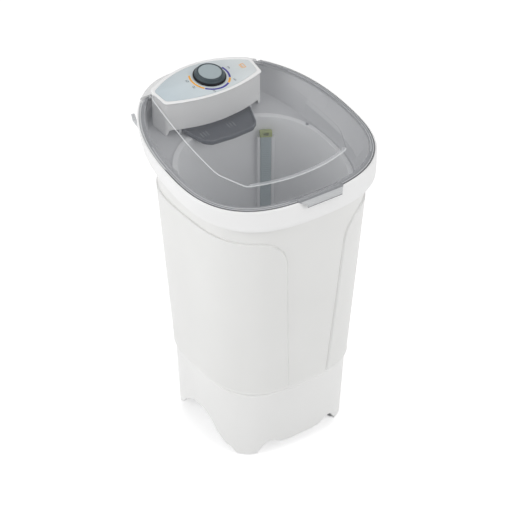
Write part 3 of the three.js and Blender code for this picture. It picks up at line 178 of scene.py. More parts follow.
class Build:
    """Collects points and faces of one piece, with a material number for each face."""

    def __init__(self):
        self.points = []
        self.faces = []
        self.marks = []
        self.count = 0

    def add(self, points, faces, mark=0):
        self.points.append(points)
        self.faces += [tuple(i + self.count for i in face) for face in faces]
        self.marks += mark if isinstance(mark, list) else [mark] * len(faces)
        self.count += len(points)
        return self

    def loft(self, rings, closed=False, marks=None, fan=True):
        """Skins a row of rings. closed joins the last to the first. If not, each end gets a cap: a fan
        round its middle, or one flat face."""
        n = len(rings[0])
        points = np.concatenate(rings)
        faces, kinds = [], []
        last = len(rings) if closed else len(rings) - 1
        for r in range(last):
            a, b = r * n, ((r + 1) % len(rings)) * n
            kind = marks[r] if marks else 0
            for k in range(n):
                m = (k + 1) % n
                faces.append((a + k, a + m, b + m, b + k))
                kinds.append(kind[k] if isinstance(kind, list) else kind)
        if not closed:
            for end in (0, len(rings) - 1):
                edge = range(end * n, end * n + n)
                cap = [tuple(edge)]
                if fan:
                    hub = len(points)
                    points = np.concatenate([points, rings[end].mean(0)[None]])
                    cap = [(k, edge[(i + 1) % n], hub) for i, k in enumerate(edge)]
                faces += cap
                kinds += [marks[min(end, len(rings) - 2)] if marks else 0] * len(cap)
        return self.add(points, faces, kinds)

    def mesh(self, name):
        data = bpy.data.meshes.new(name)
        data.from_pydata(place(np.concatenate(self.points)).tolist(), [], self.faces)
        data.polygons.foreach_set("material_index", self.marks)
        tidy = bmesh.new()
        tidy.from_mesh(data)
        bmesh.ops.remove_doubles(tidy, verts=tidy.verts, dist=1e-6)
        bmesh.ops.recalc_face_normals(tidy, faces=tidy.faces)
        tidy.to_mesh(data)
        tidy.free()
        data.update()
        return data

    def raw(self, name, materials=()):
        thing = bpy.data.objects.new(name, self.mesh(name))
        for material in materials:
            thing.data.materials.append(material)
        bpy.context.scene.collection.objects.link(thing)
        return thing


def finish_piece(thing, materials, body, replaced=(), angle=32):
    """Gives a piece its materials and body, smooths it and hides the CAD nodes that it stands for."""
    mesh = thing.data
    if not mesh.materials:
        for material in materials:
            mesh.materials.append(material)
    mesh.polygons.foreach_set("use_smooth", [True] * len(mesh.polygons))
    mesh.set_sharp_from_angle(angle=math.radians(angle))
    if replaced:
        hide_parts(*replaced)
    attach(thing, body)


def carve(thing, tools, operation="DIFFERENCE"):
    """Cuts or joins the tools' shapes, then throws the tools away."""
    for tool in tools:
        step = thing.modifiers.new("carve", "BOOLEAN")
        step.operation = operation
        step.solver = "EXACT"
        step.object = tool
    graph = bpy.context.evaluated_depsgraph_get()
    made = bpy.data.meshes.new_from_object(thing.evaluated_get(graph))
    thing.modifiers.clear()
    old = thing.data
    thing.data = made
    bpy.data.meshes.remove(old)
    for tool in tools:
        data = tool.data
        bpy.data.objects.remove(tool)
        bpy.data.meshes.remove(data)


def prism(flat, low, high, sloped=True):
    """A straight prism over a flat loop, from low to high above the rim's plane or above the floor."""
    flat = np.asarray(flat, dtype=float)
    base = rim_z(flat[:, 1]) if sloped else 0.0
    rings = [np.column_stack([flat, base + h + np.zeros(len(flat))]) for h in (low, high)]
    n = len(flat)
    faces = [(k, (k + 1) % n, n + (k + 1) % n, n + k) for k in range(n)]
    faces += [tuple(range(n - 1, -1, -1)), tuple(range(n, 2 * n))]
    return np.concatenate(rings), faces


def block(name, flat, low, high, mark=0):
    """A loose prism for carve()."""
    return Build().add(*prism(flat, low, high), mark).raw(name)


def box_loop(x0, x1, y0, y1):
    return [(x0, y0), (x1, y0), (x1, y1), (x0, y1)]


def turned(profile, centre, sides, tilt=False, wave=None):
    """Rings of a turned shape; tilt sets it square to the console's face, and wave changes its radii."""
    rings = []
    angle = 2 * np.pi * np.arange(sides) / sides
    for k, (radius, height) in enumerate(profile):
        r = radius + (wave(angle, k) if wave else 0.0)
        x, y, z = r * np.cos(angle), r * np.sin(angle), np.full(sides, float(height))
        if tilt:
            y, z = y * math.cos(SLOPE) - z * math.sin(SLOPE), y * math.sin(SLOPE) + z * math.cos(SLOPE)
        rings.append(np.column_stack([centre[0] + x, centre[1] + y, centre[2] + z]))
    return rings


# ---------------------------------------------------------------- materials

def shader(name, colour, roughness, metallic=0.0, specular=0.5, alpha=1.0):
    material = bpy.data.materials.new(name)
    material.use_nodes = True
    base = material.node_tree.nodes["Principled BSDF"]
    for key, value in (("Base Color", (*colour, 1)), ("Roughness", roughness), ("Metallic", metallic),
                       ("Specular IOR Level", specular), ("Alpha", alpha)):
        base.inputs[key].default_value = value
    return material, material.node_tree, base


def add_node(tree, kind, **values):
    node = tree.nodes.new(kind)
    for key, value in values.items():
        if key in node.inputs:
            node.inputs[key].default_value = value
        else:
            setattr(node, key, value)
    return node


def linear(*rgb):
    """sRGB values of 0 to 255 as linear colour."""
    return tuple(v / 255 / 12.92 if v <= 10 else ((v / 255 + 0.055) / 1.055) ** 2.4 for v in rgb)


def noise(tree, scale, detail=2.0, stretch=None):
    where = add_node(tree, "ShaderNodeTexCoord")
    source = where.outputs["Object"]
    if stretch:
        move = add_node(tree, "ShaderNodeMapping")
        move.inputs["Scale"].default_value = stretch
        tree.links.new(source, move.inputs["Vector"])
        source = move.outputs["Vector"]
    made = add_node(tree, "ShaderNodeTexNoise", Scale=scale, Detail=detail)
    tree.links.new(source, made.inputs["Vector"])
    return made.outputs["Fac"]


def vary(tree, fac, low, high):
    ramp = add_node(tree, "ShaderNodeMapRange")
    ramp.inputs["From Min"].default_value = 0.3
    ramp.inputs["From Max"].default_value = 0.7
    ramp.inputs["To Min"].default_value = low
    ramp.inputs["To Max"].default_value = high
    tree.links.new(fac, ramp.inputs["Value"])
    return ramp.outputs["Result"]


def blend_colour(tree, fac, first, second):
    mix = add_node(tree, "ShaderNodeMix", data_type="RGBA")
    mix.inputs["A"].default_value = (*first, 1)
    mix.inputs["B"].default_value = (*second, 1)
    tree.links.new(fac, mix.inputs["Factor"])
    return mix.outputs["Result"]


def multiply(tree, first, second):
    mix = add_node(tree, "ShaderNodeMix", data_type="RGBA", blend_type="MULTIPLY")
    mix.inputs["Factor"].default_value = 1.0
    tree.links.new(first, mix.inputs["A"])
    tree.links.new(second, mix.inputs["B"])
    return mix.outputs["Result"]


def along_axis(tree, axis, start, end):
    """0 to 1 from start to end, in metres along an axis of the piece."""
    where = add_node(tree, "ShaderNodeTexCoord")
    split = add_node(tree, "ShaderNodeSeparateXYZ")
    tree.links.new(where.outputs["Object"], split.inputs["Vector"])
    ramp = add_node(tree, "ShaderNodeMapRange")
    ramp.inputs["From Min"].default_value = start
    ramp.inputs["From Max"].default_value = end
    tree.links.new(split.outputs[axis], ramp.inputs["Value"])
    return ramp.outputs["Result"]


def relief(tree, base, grain, strength, depth, stretch=None):
    """A fine uneven skin."""
    bump = add_node(tree, "ShaderNodeBump", Strength=strength, Distance=depth)
    tree.links.new(noise(tree, grain, 2.0, stretch), bump.inputs["Height"])
    tree.links.new(bump.outputs["Normal"], base.inputs["Normal"])


def moulded(name, rgb, roughness, spread_share=0.03, grain=900, bump=0.04, specular=0.5,
            metallic=0.0, alpha=1.0, stretch=None):
    """Moulded plastic, rubber or metal: a soft cloud of colour, uneven gloss and a fine skin."""
    colour = linear(*rgb)
    material, tree, base = shader(name, colour, roughness, metallic, specular, alpha)
    cloud = noise(tree, 6.0, 3.0)
    dark = tuple(c * (1 - spread_share) for c in colour)
    light = tuple(min(1.0, c * (1 + spread_share)) for c in colour)
    tree.links.new(blend_colour(tree, vary(tree, cloud, 0, 1), dark, light), base.inputs["Base Color"])
    gloss = noise(tree, 40.0, 2.0)
    tree.links.new(vary(tree, gloss, roughness * 0.94, min(1.0, roughness * 1.06)), base.inputs["Roughness"])
    relief(tree, base, grain, bump, 0.0002, stretch)
    return material


white_gloss = moulded("white_gloss", (240, 240, 240), 0.42, 0.01, 900, 0.03)
# Whiter than the other mouldings: painted light, so that the console's skirt under the smoked lid reads
# brighter
console_white_painted_light = moulded("console_moulding_painted_light", (249, 249, 248), 0.38, 0.008, 700, 0.05)
# A greyer copy of the white moulding: painted shade for the inside of the well
funnel_painted_shade = moulded("funnel_painted_shade_moulding", (208, 209, 211), 0.42, 0.012, 700, 0.05)
tub_white = moulded("tub_moulding", (236, 237, 238), 0.4, 0.015, 500, 0.06)
pale = moulded("pale_moulding", (214, 216, 218), 0.5, 0.03, 500, 0.1)
smoke = moulded("smoked_moulding", (150, 152, 158), 0.2, 0.012, 300, 0.02, alpha=0.16)
# The smoke, then copies of it that paint light on the lid: edge, band and glow are painted highlights; rim,
# shade and flange are painted shade and painted dark lines
smoked = [smoke] + [
    moulded("smoked_" + name, rgb, 0.24, 0.02, 300, 0.02, alpha=alpha) for name, rgb, alpha in (
        ("edge", (232, 234, 236), 0.62), ("rim", (112, 114, 118), 0.85), ("band", (206, 208, 210), 0.8),
        ("shade", (132, 134, 140), 0.4), ("flange", (152, 154, 158), 0.66), ("glow", (210, 212, 215), 0.42))]
CLEAR, PAINTED_EDGE_HIGHLIGHT, PAINTED_DARK_LINE, PAINTED_LIGHT_BAND, SHADE, PAINTED_GREY_SHADE, PAINTED_SOFT_HIGHLIGHT = range(7)  # places in the list above; all but the first are copies of the smoke with painted highlights and painted shade
slate = moulded("slate_moulding", (58, 70, 76), 0.3, 0.05, 600, 0.12, specular=0.35)
ink_black = moulded("black_moulding", (12, 12, 18), 0.45, 0.05, 600, 0.1, specular=0.2)
cap_grey = moulded("grey_cap_moulding", (160, 172, 176), 0.4, 0.02, 800, 0.05)
dark_plastic, tray_edge, tray_print = (
    moulded(name, rgb, 0.45, 0.04, 600, 0.12) for name, rgb in (
        ("dark_moulding", (60, 66, 75)), ("tray_edge", (92, 98, 106)), ("tray_print", (136, 142, 150))))
filter_grey = moulded("filter_moulding", (170, 185, 188), 0.5, 0.04, 600, 0.12)
green_plastic = moulded("green_moulding", (164, 176, 100), 0.45, 0.04, 600, 0.1)
rubber = moulded("black_rubber", (30, 30, 32), 0.8, 0.12, 900, 0.35, specular=0.3)
belt = moulded("belt_rubber", (24, 24, 25), 0.85, 0.15, 1400, 0.5, specular=0.3)
steel = moulded("plated_steel", (180, 182, 184), 0.32, 0.06, 300, 0.12, metallic=1.0, stretch=(1, 1, 12))
motor_metal = moulded("painted_metal", (109, 112, 116), 0.5, 0.05, 220, 0.2, metallic=0.6)
orange, purple, grey_print = (
    moulded(name + "_print", rgb, 0.45, 0.03, 900, 0.03) for name, rgb in (
        ("orange", (245, 176, 66)), ("purple", (62, 50, 148)), ("grey", (96, 104, 112))))


def cabinet_material():
    """White moulding, with painted shade that makes it a touch darker above the step."""
    material = moulded("cabinet_moulding", (236, 236, 235), 0.38, 0.012, 700, 0.05)
    tree = material.node_tree
    base = tree.nodes["Principled BSDF"]
    cloud = base.inputs["Base Color"].links[0].from_socket
    # Painted shade: the wall above the step is darkened a little
    above_step = along_axis(tree, "Z", 0.196, 0.212)
    shade = blend_colour(tree, above_step, (1.0, 1.0, 1.0), (0.955, 0.955, 0.95))
    tree.links.new(multiply(tree, cloud, shade), base.inputs["Base Color"])
    return material


cabinet_white = cabinet_material()


def label_material():
    """Printed film: pale blue-grey that turns greener to one side, with a faint satin grain."""
    material, tree, base = shader("label_film", linear(206, 217, 222), 0.42)
    side = along_axis(tree, "X", -0.13, 0.13)
    tint = blend_colour(tree, side, linear(194, 206, 212), linear(220, 225, 226))
    cloud = vary(tree, noise(tree, 14.0, 3.0), 0, 1)
    cloud = blend_colour(tree, cloud, (0.95, 0.95, 0.95), (1, 1, 1))
    tree.links.new(multiply(tree, tint, cloud), base.inputs["Base Color"])
    tree.links.new(vary(tree, noise(tree, 60.0), 0.36, 0.48), base.inputs["Roughness"])
    relief(tree, base, 1500.0, 0.05, 0.0001)
    return material


label_film = label_material()

# ---------------------------------------------------------------- shapes shared by several pieces

rim = outline(260.5, 219, 306, 2.74, 3.56, 0.29)
collar_outer = dict(inset(rim, 7), front=228)
well_top = dict(inset(rim, 18.5), rear=296, rear_power=4)
well_mid = dict(well_top, width=208.9, front=196, rear_power=4.5, taper=0.19)
well_bottom = dict(well_mid, width=206.1, front=193)
tub_top = outline(192, 178, 171, 2.6, 2.35)
TUB_TAPER = 0.88
tub_low = dict(tub_top, **{key: tub_top[key] * TUB_TAPER for key in ("width", "front", "rear")})
ridge = outline(170.9, 165, 255, 3.7, 4, 0.1, 0)
FINE = even(64)

# ---------------------------------------------------------------- cabinet

WALL_TOP = 740.0
WALL = ((189.0, 176.0), (189.4, 194.0), (221.0, 229.0))  # half width and depth: floor, step, top
SIDE_ARCH = [[1, 0], [.93, .16], [.75, .3], [.6, .5], [.45, .74], [.22, .95], [0, 1]]
FRONT_ARCH = [[1.06, 0], [1, .22], [.93, .55], [.86, .82], [.78, .95], [.66, .88], [.52, .6], [.3, .52],
              [0, .52]]
PAD_X, PAD_Y = 117.0, 126.5  # inner corner of the plate over each foot


def cabinet_outline(z, amount):
    """Half width and half depth of the cabinet's wall at the heights z, less an amount."""
    upper = z >= STEP_Z
    share = np.where(upper, (z - STEP_Z) / (WALL_TOP - STEP_Z), z / STEP_Z)
    return [np.where(upper, step + (top - step) * share, foot + (step - foot) * share) - amount
            for foot, step, top in zip(*WALL)]


def pillar_share(x, z):
    """How far inside the raised panel's edge a point of the front is. Negative is outside."""
    across = np.abs(x - PILLAR_X) - (PILLAR_TOP + PILLAR_FILLET)
    up = z - (PANEL_TOP - PILLAR_FILLET)
    out = -across * math.cos(PILLAR_LEAN) + up * math.sin(PILLAR_LEAN)
    along = across * math.sin(PILLAR_LEAN) + up * math.cos(PILLAR_LEAN)
    corner = np.where(across < 0, np.hypot(across, up), -1e3)
    return PILLAR_FILLET - np.where(along > 0, corner, out)


def swell(distance, reach):
    return np.exp(-(distance / reach) ** 2)


def panel_amount(x, y, z):
    """How far the wall is set back from the raised panel's face, with grooves and a bead at its foot."""
    front = np.where(y < 0, pillar_share(x, z), 1e3)
    away = np.minimum(np.minimum(PANEL_TOP - z, z - STEP_Z), front)
    t = np.clip((away + 0.4) / 2.4, 0, 1)
    rounded = np.sqrt(1 - (1 - t) ** 2)
    groove = 0.9 * swell(away + 1.0, 0.8) * np.where(z > STEP_Z + 3, 1.0, 0.0)
    bead = 0.9 * swell(z - STEP_Z - 4, 2.2) * np.where(front > 2, 1.0, 0.0)
    shadow = 1.5 * swell(z - STEP_Z + 6.5, 2.2)
    return PANEL_RISE * (1 - rounded) + groove - bead + shadow


def arch(across, table, half, height):
    """Height of an arch at a distance from its middle. The table's shares are rounded off."""
    table = np.array(table)
    fine = np.linspace(0, 1.15, 461)
    up = np.interp(fine, table[::-1, 0], table[::-1, 1], right=0.0)
    kernel = np.hanning(25)
    padded = np.concatenate([up[12:0:-1], up, np.zeros(12)])
    soft = np.convolve(padded, kernel / kernel.sum(), "valid")
    return FOOT_TOP + np.interp(np.abs(across) / half, fine, soft, right=0.0) * (height - FOOT_TOP)


def low_edge(x, y):
    """Lower edge of the wall, with an arch between the feet on each side."""
    return np.maximum(arch(y, SIDE_ARCH, 127.95, 92), arch(x, FRONT_ARCH, 118.0, 42))


def top_edge(x, y):
    return rim_z(y) - CABINET_TOP


def level(height):
    return lambda x, y: np.full(len(x), float(height))


def between(low, high, share):
    return lambda x, y: low(x, y) + (high(x, y) - low(x, y)) * share


def cabinet_piece():
    runs = ((0, 0.12, 8), (0.12, 0.30, 70), (0.30, 0.50, 36), (0.50, 1.0, 44))  # finer at the panel's edge
    near = np.concatenate([np.linspace(start, end, count, endpoint=False) for start, end, count in runs])
    rear = np.arange(56) / 56
    toward_front = np.sort(1 - np.concatenate([near[1:], [1.0]]))
    flat = spread(outline(1.0, 1.0, 1.0, 3.1, 3.1, centre=0.0), [rear, rear, toward_front, near])

    def solve(height, amount):
        """Ring where height is a function of x and y, and amount a number or a function of x, y and z."""
        z = np.full(len(flat), 400.0)
        for _ in range(12):
            x, y = (flat * np.column_stack(cabinet_outline(z, 0.0))).T
            z = height(x, y)
        back = amount(x, y, z) if callable(amount) else amount
        return np.column_stack([flat * np.column_stack(cabinet_outline(z, back)), z])

    step, seam = level(STEP_Z), level(PANEL_TOP)
    span = PANEL_TOP - STEP_Z
    skirt = np.concatenate([np.linspace(0, 0.9, 13), np.linspace(0.925, 0.997, 14)])
    wall = np.concatenate([
        np.array([0, 0.7, 1.4, 2.1, 2.8, 3.5, 4.2, 5.0, 6.0, 7.2, 9, 12, 18]) / span,
        np.linspace(0.06, 0.81, 28), np.linspace(0.82, 0.985, 60),
        1 - np.array([4.2, 3.4, 2.6, 1.8, 1.2, 0.6, 0.2, -0.4, -1.0, -1.6, -2.4, -3.2]) / span])
    rings = [solve(between(low, high, share), panel_amount) for low, high, shares in (
        (low_edge, step, skirt), (step, seam, wall), (seam, top_edge, (0.12, 0.3, 0.6, 0.9, 1.0)))
        for share in shares]
    inside = PANEL_RISE + SKIN
    ledge = inside + 18
    rings += [solve(height, amount) for height, amount in (
        (top_edge, inside), (step, inside), (level(COVER_HIGH + 0.2), inside), (level(COVER_HIGH), ledge),
        (level(COVER_LOW), ledge), (level(COVER_LOW - 0.2), inside), (low_edge, inside))]
    made = Build().loft(rings, closed=True)
    base = solve(low_edge, PANEL_RISE + 1)[:, :2]
    for sx in (-1, 1):
        for sy in (-1, 1):
            edge = base[(base[:, 0] * sx > PAD_X) & (base[:, 1] * sy > PAD_Y)]
            edge = edge[np.argsort(np.arctan2(edge[:, 1], edge[:, 0] * sx))]
            plate = np.vstack([edge, (sx * PAD_X, sy * PAD_Y)])
            made.add(*prism(plate, FOOT_TOP, FOOT_TOP + 4, sloped=False))
    thing = made.raw("cabinet_shell")
    drill = Build()
    for x, z, radius in ((-92, 236, 16.3), (70, 150, 7.3)):  # the drain and the cord
        drill.loft([np.insert(circle((x, z), radius, 48), 1, y, axis=1) for y in (120.0, 260.0)])
    room = 3.3  # the funnel's skin and a little air
    well = [rim_ring(inset(shape, -room), FINE, lift) for shape, lift in (
        (well_bottom, WELL_FLOOR - room), (well_mid, WELL_MID), (well_top, -6), (well_top, 5))]
    carve(thing, [drill.raw("drill"), Build().loft(well).raw("well")])
    finish_piece(thing, [cabinet_white], "washer", ["cabinet"], 40)


cabinet_piece()

# ---------------------------------------------------------------- collar

CONSOLE_FRONT = (138.1, 188.0, 25.0)  # half width, y at its ends and bulge
CONSOLE_REAR = (143.0, 247.0, 42.0)


def console_loop(grow, reach=7.0):
    """The console seen from above: two bulged arcs with rounded corners between them."""
    share = np.linspace(-1, 1, 40)

    def arc(half, end, bulge, way):
        return np.column_stack([(half + grow) * way * share, end + way * -(grow + bulge * (1 - share ** 2))])

    low, high = arc(*CONSOLE_FRONT, 1), arc(*CONSOLE_REAR, -1)
    out = []
    for here, there in ((low, high), (high, low)):
        out.append(here[2:-2])
        p, q = here[-1], there[0]
        side = unit(q - p)
        for corner, first, second in ((p, unit(here[-2] - p), side), (q, -side, unit(there[1] - q))):
            out.append(bend(corner + first * reach, corner, corner + second * reach, 7))
    return np.concatenate(out)


def collar_piece():
    def part_way(share):
        """Shape and lift between the skirt's foot and the rim."""
        return {k: collar_outer[k] + (rim[k] - collar_outer[k]) * share for k in rim}, -47 + 41.5 * share

    bead = inset(rim, 4.5)
    outside = [
        (inset(collar_outer, 1.0), -48), (inset(collar_outer, 0.25), -47.7), (collar_outer, -47.0),
        *map(part_way, (0.18, 0.4, 0.62, 0.82)),
        (rim, -5.5), (inset(rim, 0.15), -3.6), (inset(rim, 0.6), -2.0), (inset(rim, 1.3), -0.8),
        (inset(rim, 2.3), -0.15), (inset(rim, 3.2), 0), (inset(rim, 4.0), -0.1), (inset(rim, 4.4), -0.5),
        (bead, -1.2), (bead, SEAT),
    ]
    funnel = [
        (inset(rim, 17.3), SEAT), (inset(rim, 18.2), -3.4), (well_top, -4.4), (well_mid, WELL_MID),
        (well_bottom, -73), (inset(well_bottom, 1.2), -76.2), (inset(well_bottom, 4), WELL_FLOOR),
        (inset(tub_top, -3.3), WELL_FLOOR), (inset(tub_top, -3.3), WELL_FLOOR - SKIN),
    ]
    underside = [
        (inset(well_bottom, -SKIN), WELL_FLOOR - SKIN), (inset(well_mid, -SKIN), WELL_MID),
        (inset(well_top, -SKIN), -6), (bead, -6), (inset(rim, 3.6), -9), (inset(collar_outer, SKIN), -48),
    ]
    rings = [rim_ring(shape, FINE, lift) for shape, lift in (*outside, *funnel, *underside)]
    # The funnel's rings take the greyer copy: painted shade in the well
    marks = [0] * (len(outside) - 1) + [1] * (len(funnel) + 1) + [0] * len(underside)
    looks = [white_gloss, funnel_painted_shade]
    thing = Build().loft(rings, closed=True, marks=marks).raw("collar_shell", looks)
    cover = block("cover", spread(inset(rim, 3.4), FINE), -5.6, -0.35)
    far = 700
    carve(cover, [block("away", box_loop(-far, far, -far, DECK_Y), -40, 40),
                  block("hole", console_loop(CONSOLE_GAP), -40, 40)])
    carve(thing, [cover], "UNION")
    pockets = ((-173, -141), (141, 173))  # for the lid's lugs
    carve(thing, [block("pocket", box_loop(x0, x1, 225, DECK_Y), -7.5, 2) for x0, x1 in pockets])
    finish_piece(thing, looks, "washer", ["top_collar"], 34)


collar_piece()

# ---------------------------------------------------------------- tub with the guide of its filter

def wall_frame(turn, depth):
    """Origin and axes at the tub's rim: across the wall, out of it, and up along it."""
    low, high = outline_points(tub_low, [turn])[0], outline_points(tub_top, [turn])[0]
    top = np.array([*high, rim_z(high[1]) + WELL_FLOOR])
    bottom = np.array([*low, TUB_FLOOR + 26])
    ahead, behind = outline_points(tub_top, [turn - 0.01])[0], outline_points(tub_top, [turn + 0.01])[0]
    up = unit(top - bottom)
    out = unit(np.cross(up, unit(np.array([*(ahead - behind), 0.0]))))
    return top - out * depth, np.cross(out, up), out, up


FILTER_FRAME = wall_frame(FILTER_TURN, 1.5)


def in_filter(flat, z):
    """A loop across the filter's guide, at a height along it."""
    origin, across, out, up = FILTER_FRAME
    return origin + flat[:, :1] * across + flat[:, 1:2] * out + z * up


def rounded_box(half, front, rear, low, high, edge=1.0):
    """A block in the filter's frame with its edges rounded: front and rear are depths from the wall."""
    loop = rounded_rect(-half, half, -front, -rear, edge, 5)
    pull = np.sign(loop - loop.mean(0)) * 0.6 * edge
    return [in_filter(loop - pull, low), in_filter(loop, low + edge * 0.6),
            in_filter(loop, high - edge * 0.6), in_filter(loop - pull, high)]


def tub_piece():
    def floor_rings(shape, steps):
        return [np.insert(spread(inset(shape, amount), FINE), 2, TUB_FLOOR + lift, axis=1)
                for amount, lift in steps]

    rings = [
        *floor_rings(tub_low, ((150, -SKIN), (26, -SKIN))),
        *floor_rings(inset(tub_low, -SKIN), ((15, -0.5), (7.8, 4.8), (2.4, 12), (0, 23))),
        *(rim_ring(inset(tub_top, amount), FINE, lift) for amount, lift in (
            (-3, -76.7), (-13, -76.7), (-13, -74.4), (-12.3, -73.7), (-2.5, -73.7), (-0.8, -74.2), (0, -76))),
        *floor_rings(tub_low, ((0, 26), (2, 16), (7.8, 7.8), (16, 2.5), (28, 0), (150, 0))),
    ]
    bore = toward(rings[0], (0, TUB_Y), 16.0)
    rings += [np.insert(bore, 2, z, axis=1) for z in (TUB_FLOOR, TUB_FLOOR - SKIN)]
    made = Build().loft(rings, closed=True)
    right = [(21, 1.2), (21, -11.4), (19.6, -12.5), (14.2, -12.5), (13.5, -11.8), (13.5, -7.5), (17.5, -7.5),
             (17.5, -2.5)]
    guide = np.array([(-21, 1.2), *right, *((-x, y) for x, y in right[:0:-1])])
    made.loft([in_filter(guide, z) for z in (-372.0, -371.0, -46.0, -45.0)], fan=False)
    finish_piece(made.raw("tub_shell"), [tub_white], "washer",
                 ["wash_tub", "tub_floor", "filter_guide"], 34)


tub_piece()

# ---------------------------------------------------------------- lint filter

def filter_piece():
    made = Build()
    made.loft(rounded_box(13, 13.5, 3, -368.5, -45.2, 0.8))
    made.loft(rounded_box(17, 7, 3, -368.7, -45.2, 0.6))
    top, bottom, count = -52.0, -364.0, 60
    pitch = (top - bottom) / count
    for k in range(count):
        z = bottom + k * pitch
        made.loft(rounded_box(9.2, 14.3, 13.0, z + 1.0, z + pitch - 1.2, 0.4))
    finish_piece(made.raw("filter_column"), [filter_grey], "filter", ["lint_filter"], 40)


def filter_cap_piece():
    low = -44.7
    across = FILTER_FRAME[1]
    made = Build()
    made.loft(rounded_box(15, 15.5, 3, low, low + 4.0, 1.2))
    made.loft(rounded_box(15, 15.5, 3, low + 11.0, low + 16.0, 1.4))
    for x in (-11, 11):
        made.loft([r + across * x for r in rounded_box(4, 15.2, 3.2, low + 3.0, low + 12.0, 0.8)])
    made.loft(rounded_box(8.5, 4.5, 3.0, low + 3.0, low + 12.0, 0.4))
    finish_piece(made.raw("filter_grip"), [green_plastic], "filter", ["filter_cap"], 40)


filter_piece()
filter_cap_piece()

# ---------------------------------------------------------------- console

def about_knob(flat, lift):
    return on_rim(toward(flat, KNOB, KNOB_HOLE), lift)


def housing_piece():
    front_foot, drop, begin, run = -60.5, 16.2, 189, 5  # the foot steps down behind the front
    rings = []
    for grow, share, lift in ((-5, 1, 0), (-4.4, 1, 0), (-2.6, 1, 0), (-2.1, 1, 0.5), (-2, 1, 1.3),
                              (-2, 0.9, 1), (-2, 0.5, 4), (-2, 0, 8.6), (-2.4, 0, 9.6), (-3.4, 0, 10)):
        flat = console_loop(grow)
        t = np.clip((flat[:, 1] - begin) / run, 0, 1)
        foot = front_foot - drop * t * t * (3 - 2 * t)
        rings.append(on_rim(flat, foot * share + lift))
    rings += [about_knob(flat, 10), about_knob(flat, 7), on_rim(console_loop(-5), 7)]
    thing = Build().loft(rings, closed=True).raw("console_body")
    finish_piece(thing, [console_white_painted_light], "washer", ["console_housing"], 34)


def plate_piece():
    rings = [on_rim(console_loop(grow), lift) for grow, lift in (
        (0, 10.6), (0, 12.2), (-0.35, 13.2), (-1.1, 13.85), (-2.2, 14.1), (-5.8, 14.1), (-6.9, 13.9),
        (-7.6, 13.4), (-7.9, 12.5))]
    rings += [about_knob(rings[-1], 12.5), about_knob(rings[-1], 10.3), on_rim(console_loop(-0.3), 10.3)]
    thing = Build().loft(rings, closed=True).raw("console_frame")
    finish_piece(thing, [white_gloss], "washer", ["console_plate"], 40)


def label_piece():
    flat = console_loop(-8.3)
    rings = [on_rim(flat, 12.6), on_rim(flat, 13.55), on_rim(console_loop(-8.6), 13.7),
             about_knob(flat, 13.7), about_knob(flat, 12.6)]
    thing = Build().loft(rings, closed=True).raw("dial_label")
    finish_piece(thing, [label_film], "washer", ["console_label"], 40)


def skirt_line():
    """The thin dark strip that runs along the foot of the console's skirt: a painted shadow line."""
    left, right, inward = -86, 46, 2.0
    x = np.linspace(left, right, 40)
    half, end, bulge = CONSOLE_FRONT
    y = end + inward - bulge * (1 - (x / (half - inward)) ** 2)
    lift = np.interp(x, (left, right), (-63.5, -59.5))
    rings = np.stack([np.column_stack([x, y + push, rim_z(y) + lift + up]) for push, up in (
        (0.5, -0.55), (-0.12, -0.55), (-0.12, 0.55), (0.5, 0.55))], axis=1)
    finish_piece(Build().loft(rings).raw("skirt_shadow_line"), [tray_edge], "washer", (), 40)


skirt_line()
housing_piece()
plate_piece()
label_piece()

# Printed marks: raised by a tenth of a millimetre, each its own closed strip

MARK_LOW, MARK_HIGH = 13.62, 13.82
ARC_RADIUS = 48.6


def strip(made, points, width):
    """A flat closed band of a given width along points on the console's face."""
    points = np.asarray(points, dtype=float)
    along = np.gradient(points, axis=0)
    along /= np.linalg.norm(along, axis=1)[:, None]
    side = np.column_stack([-along[:, 1], along[:, 0]]) * width / 2
    loop = np.concatenate([points + side, (points - side)[::-1]])
    low, high = on_rim(loop, MARK_LOW), on_rim(loop, MARK_HIGH)
    n = len(points)
    m = len(loop)
    faces = []
    for k in range(n - 1):
        faces.append((k, k + 1, m - 2 - k, m - 1 - k))
        faces.append((m + k, m + m - 1 - k, m + m - 2 - k, m + k + 1))
    faces += [(k, m + k, m + (k + 1) % m, (k + 1) % m) for k in range(m)]
    made.add(np.concatenate([low, high]), faces)


def on_dial(degrees, radius):
    angle = np.radians(degrees)
    return np.column_stack([KNOB[0] + radius * np.cos(angle), KNOB[1] + radius * np.sin(angle)])


SEGMENTS = {"0": "abcdef", "1": "bc", "2": "abged", "3": "abgcd", "5": "afgcd", "6": "afgedc",
            "9": "abcdfg"}


def number(made, text, x, y, height):
    """Plain stroked digits: generic numbers of a dial."""
    w, h = height * 0.5, height
    ends = {"a": ((0, h), (w, h)), "b": ((w, h), (w, h / 2)), "c": ((w, h / 2), (w, 0)),
            "d": ((0, 0), (w, 0)), "e": ((0, h / 2), (0, 0)), "f": ((0, h), (0, h / 2)),
            "g": ((0, h / 2), (w, h / 2))}
    pen = np.array([x - (len(text) * w * 1.5 - w * 0.5) / 2, y - h / 2])
    for letter in text:
        for segment in SEGMENTS[letter]:
            start, end = np.array(ends[segment])
            grow = np.sign(end - start) * height * 0.05
            first, last = pen + start - grow, pen + end + grow
            strip(made, [first, (first + last) / 2, last], height * 0.13)
        pen[0] += w * 1.5


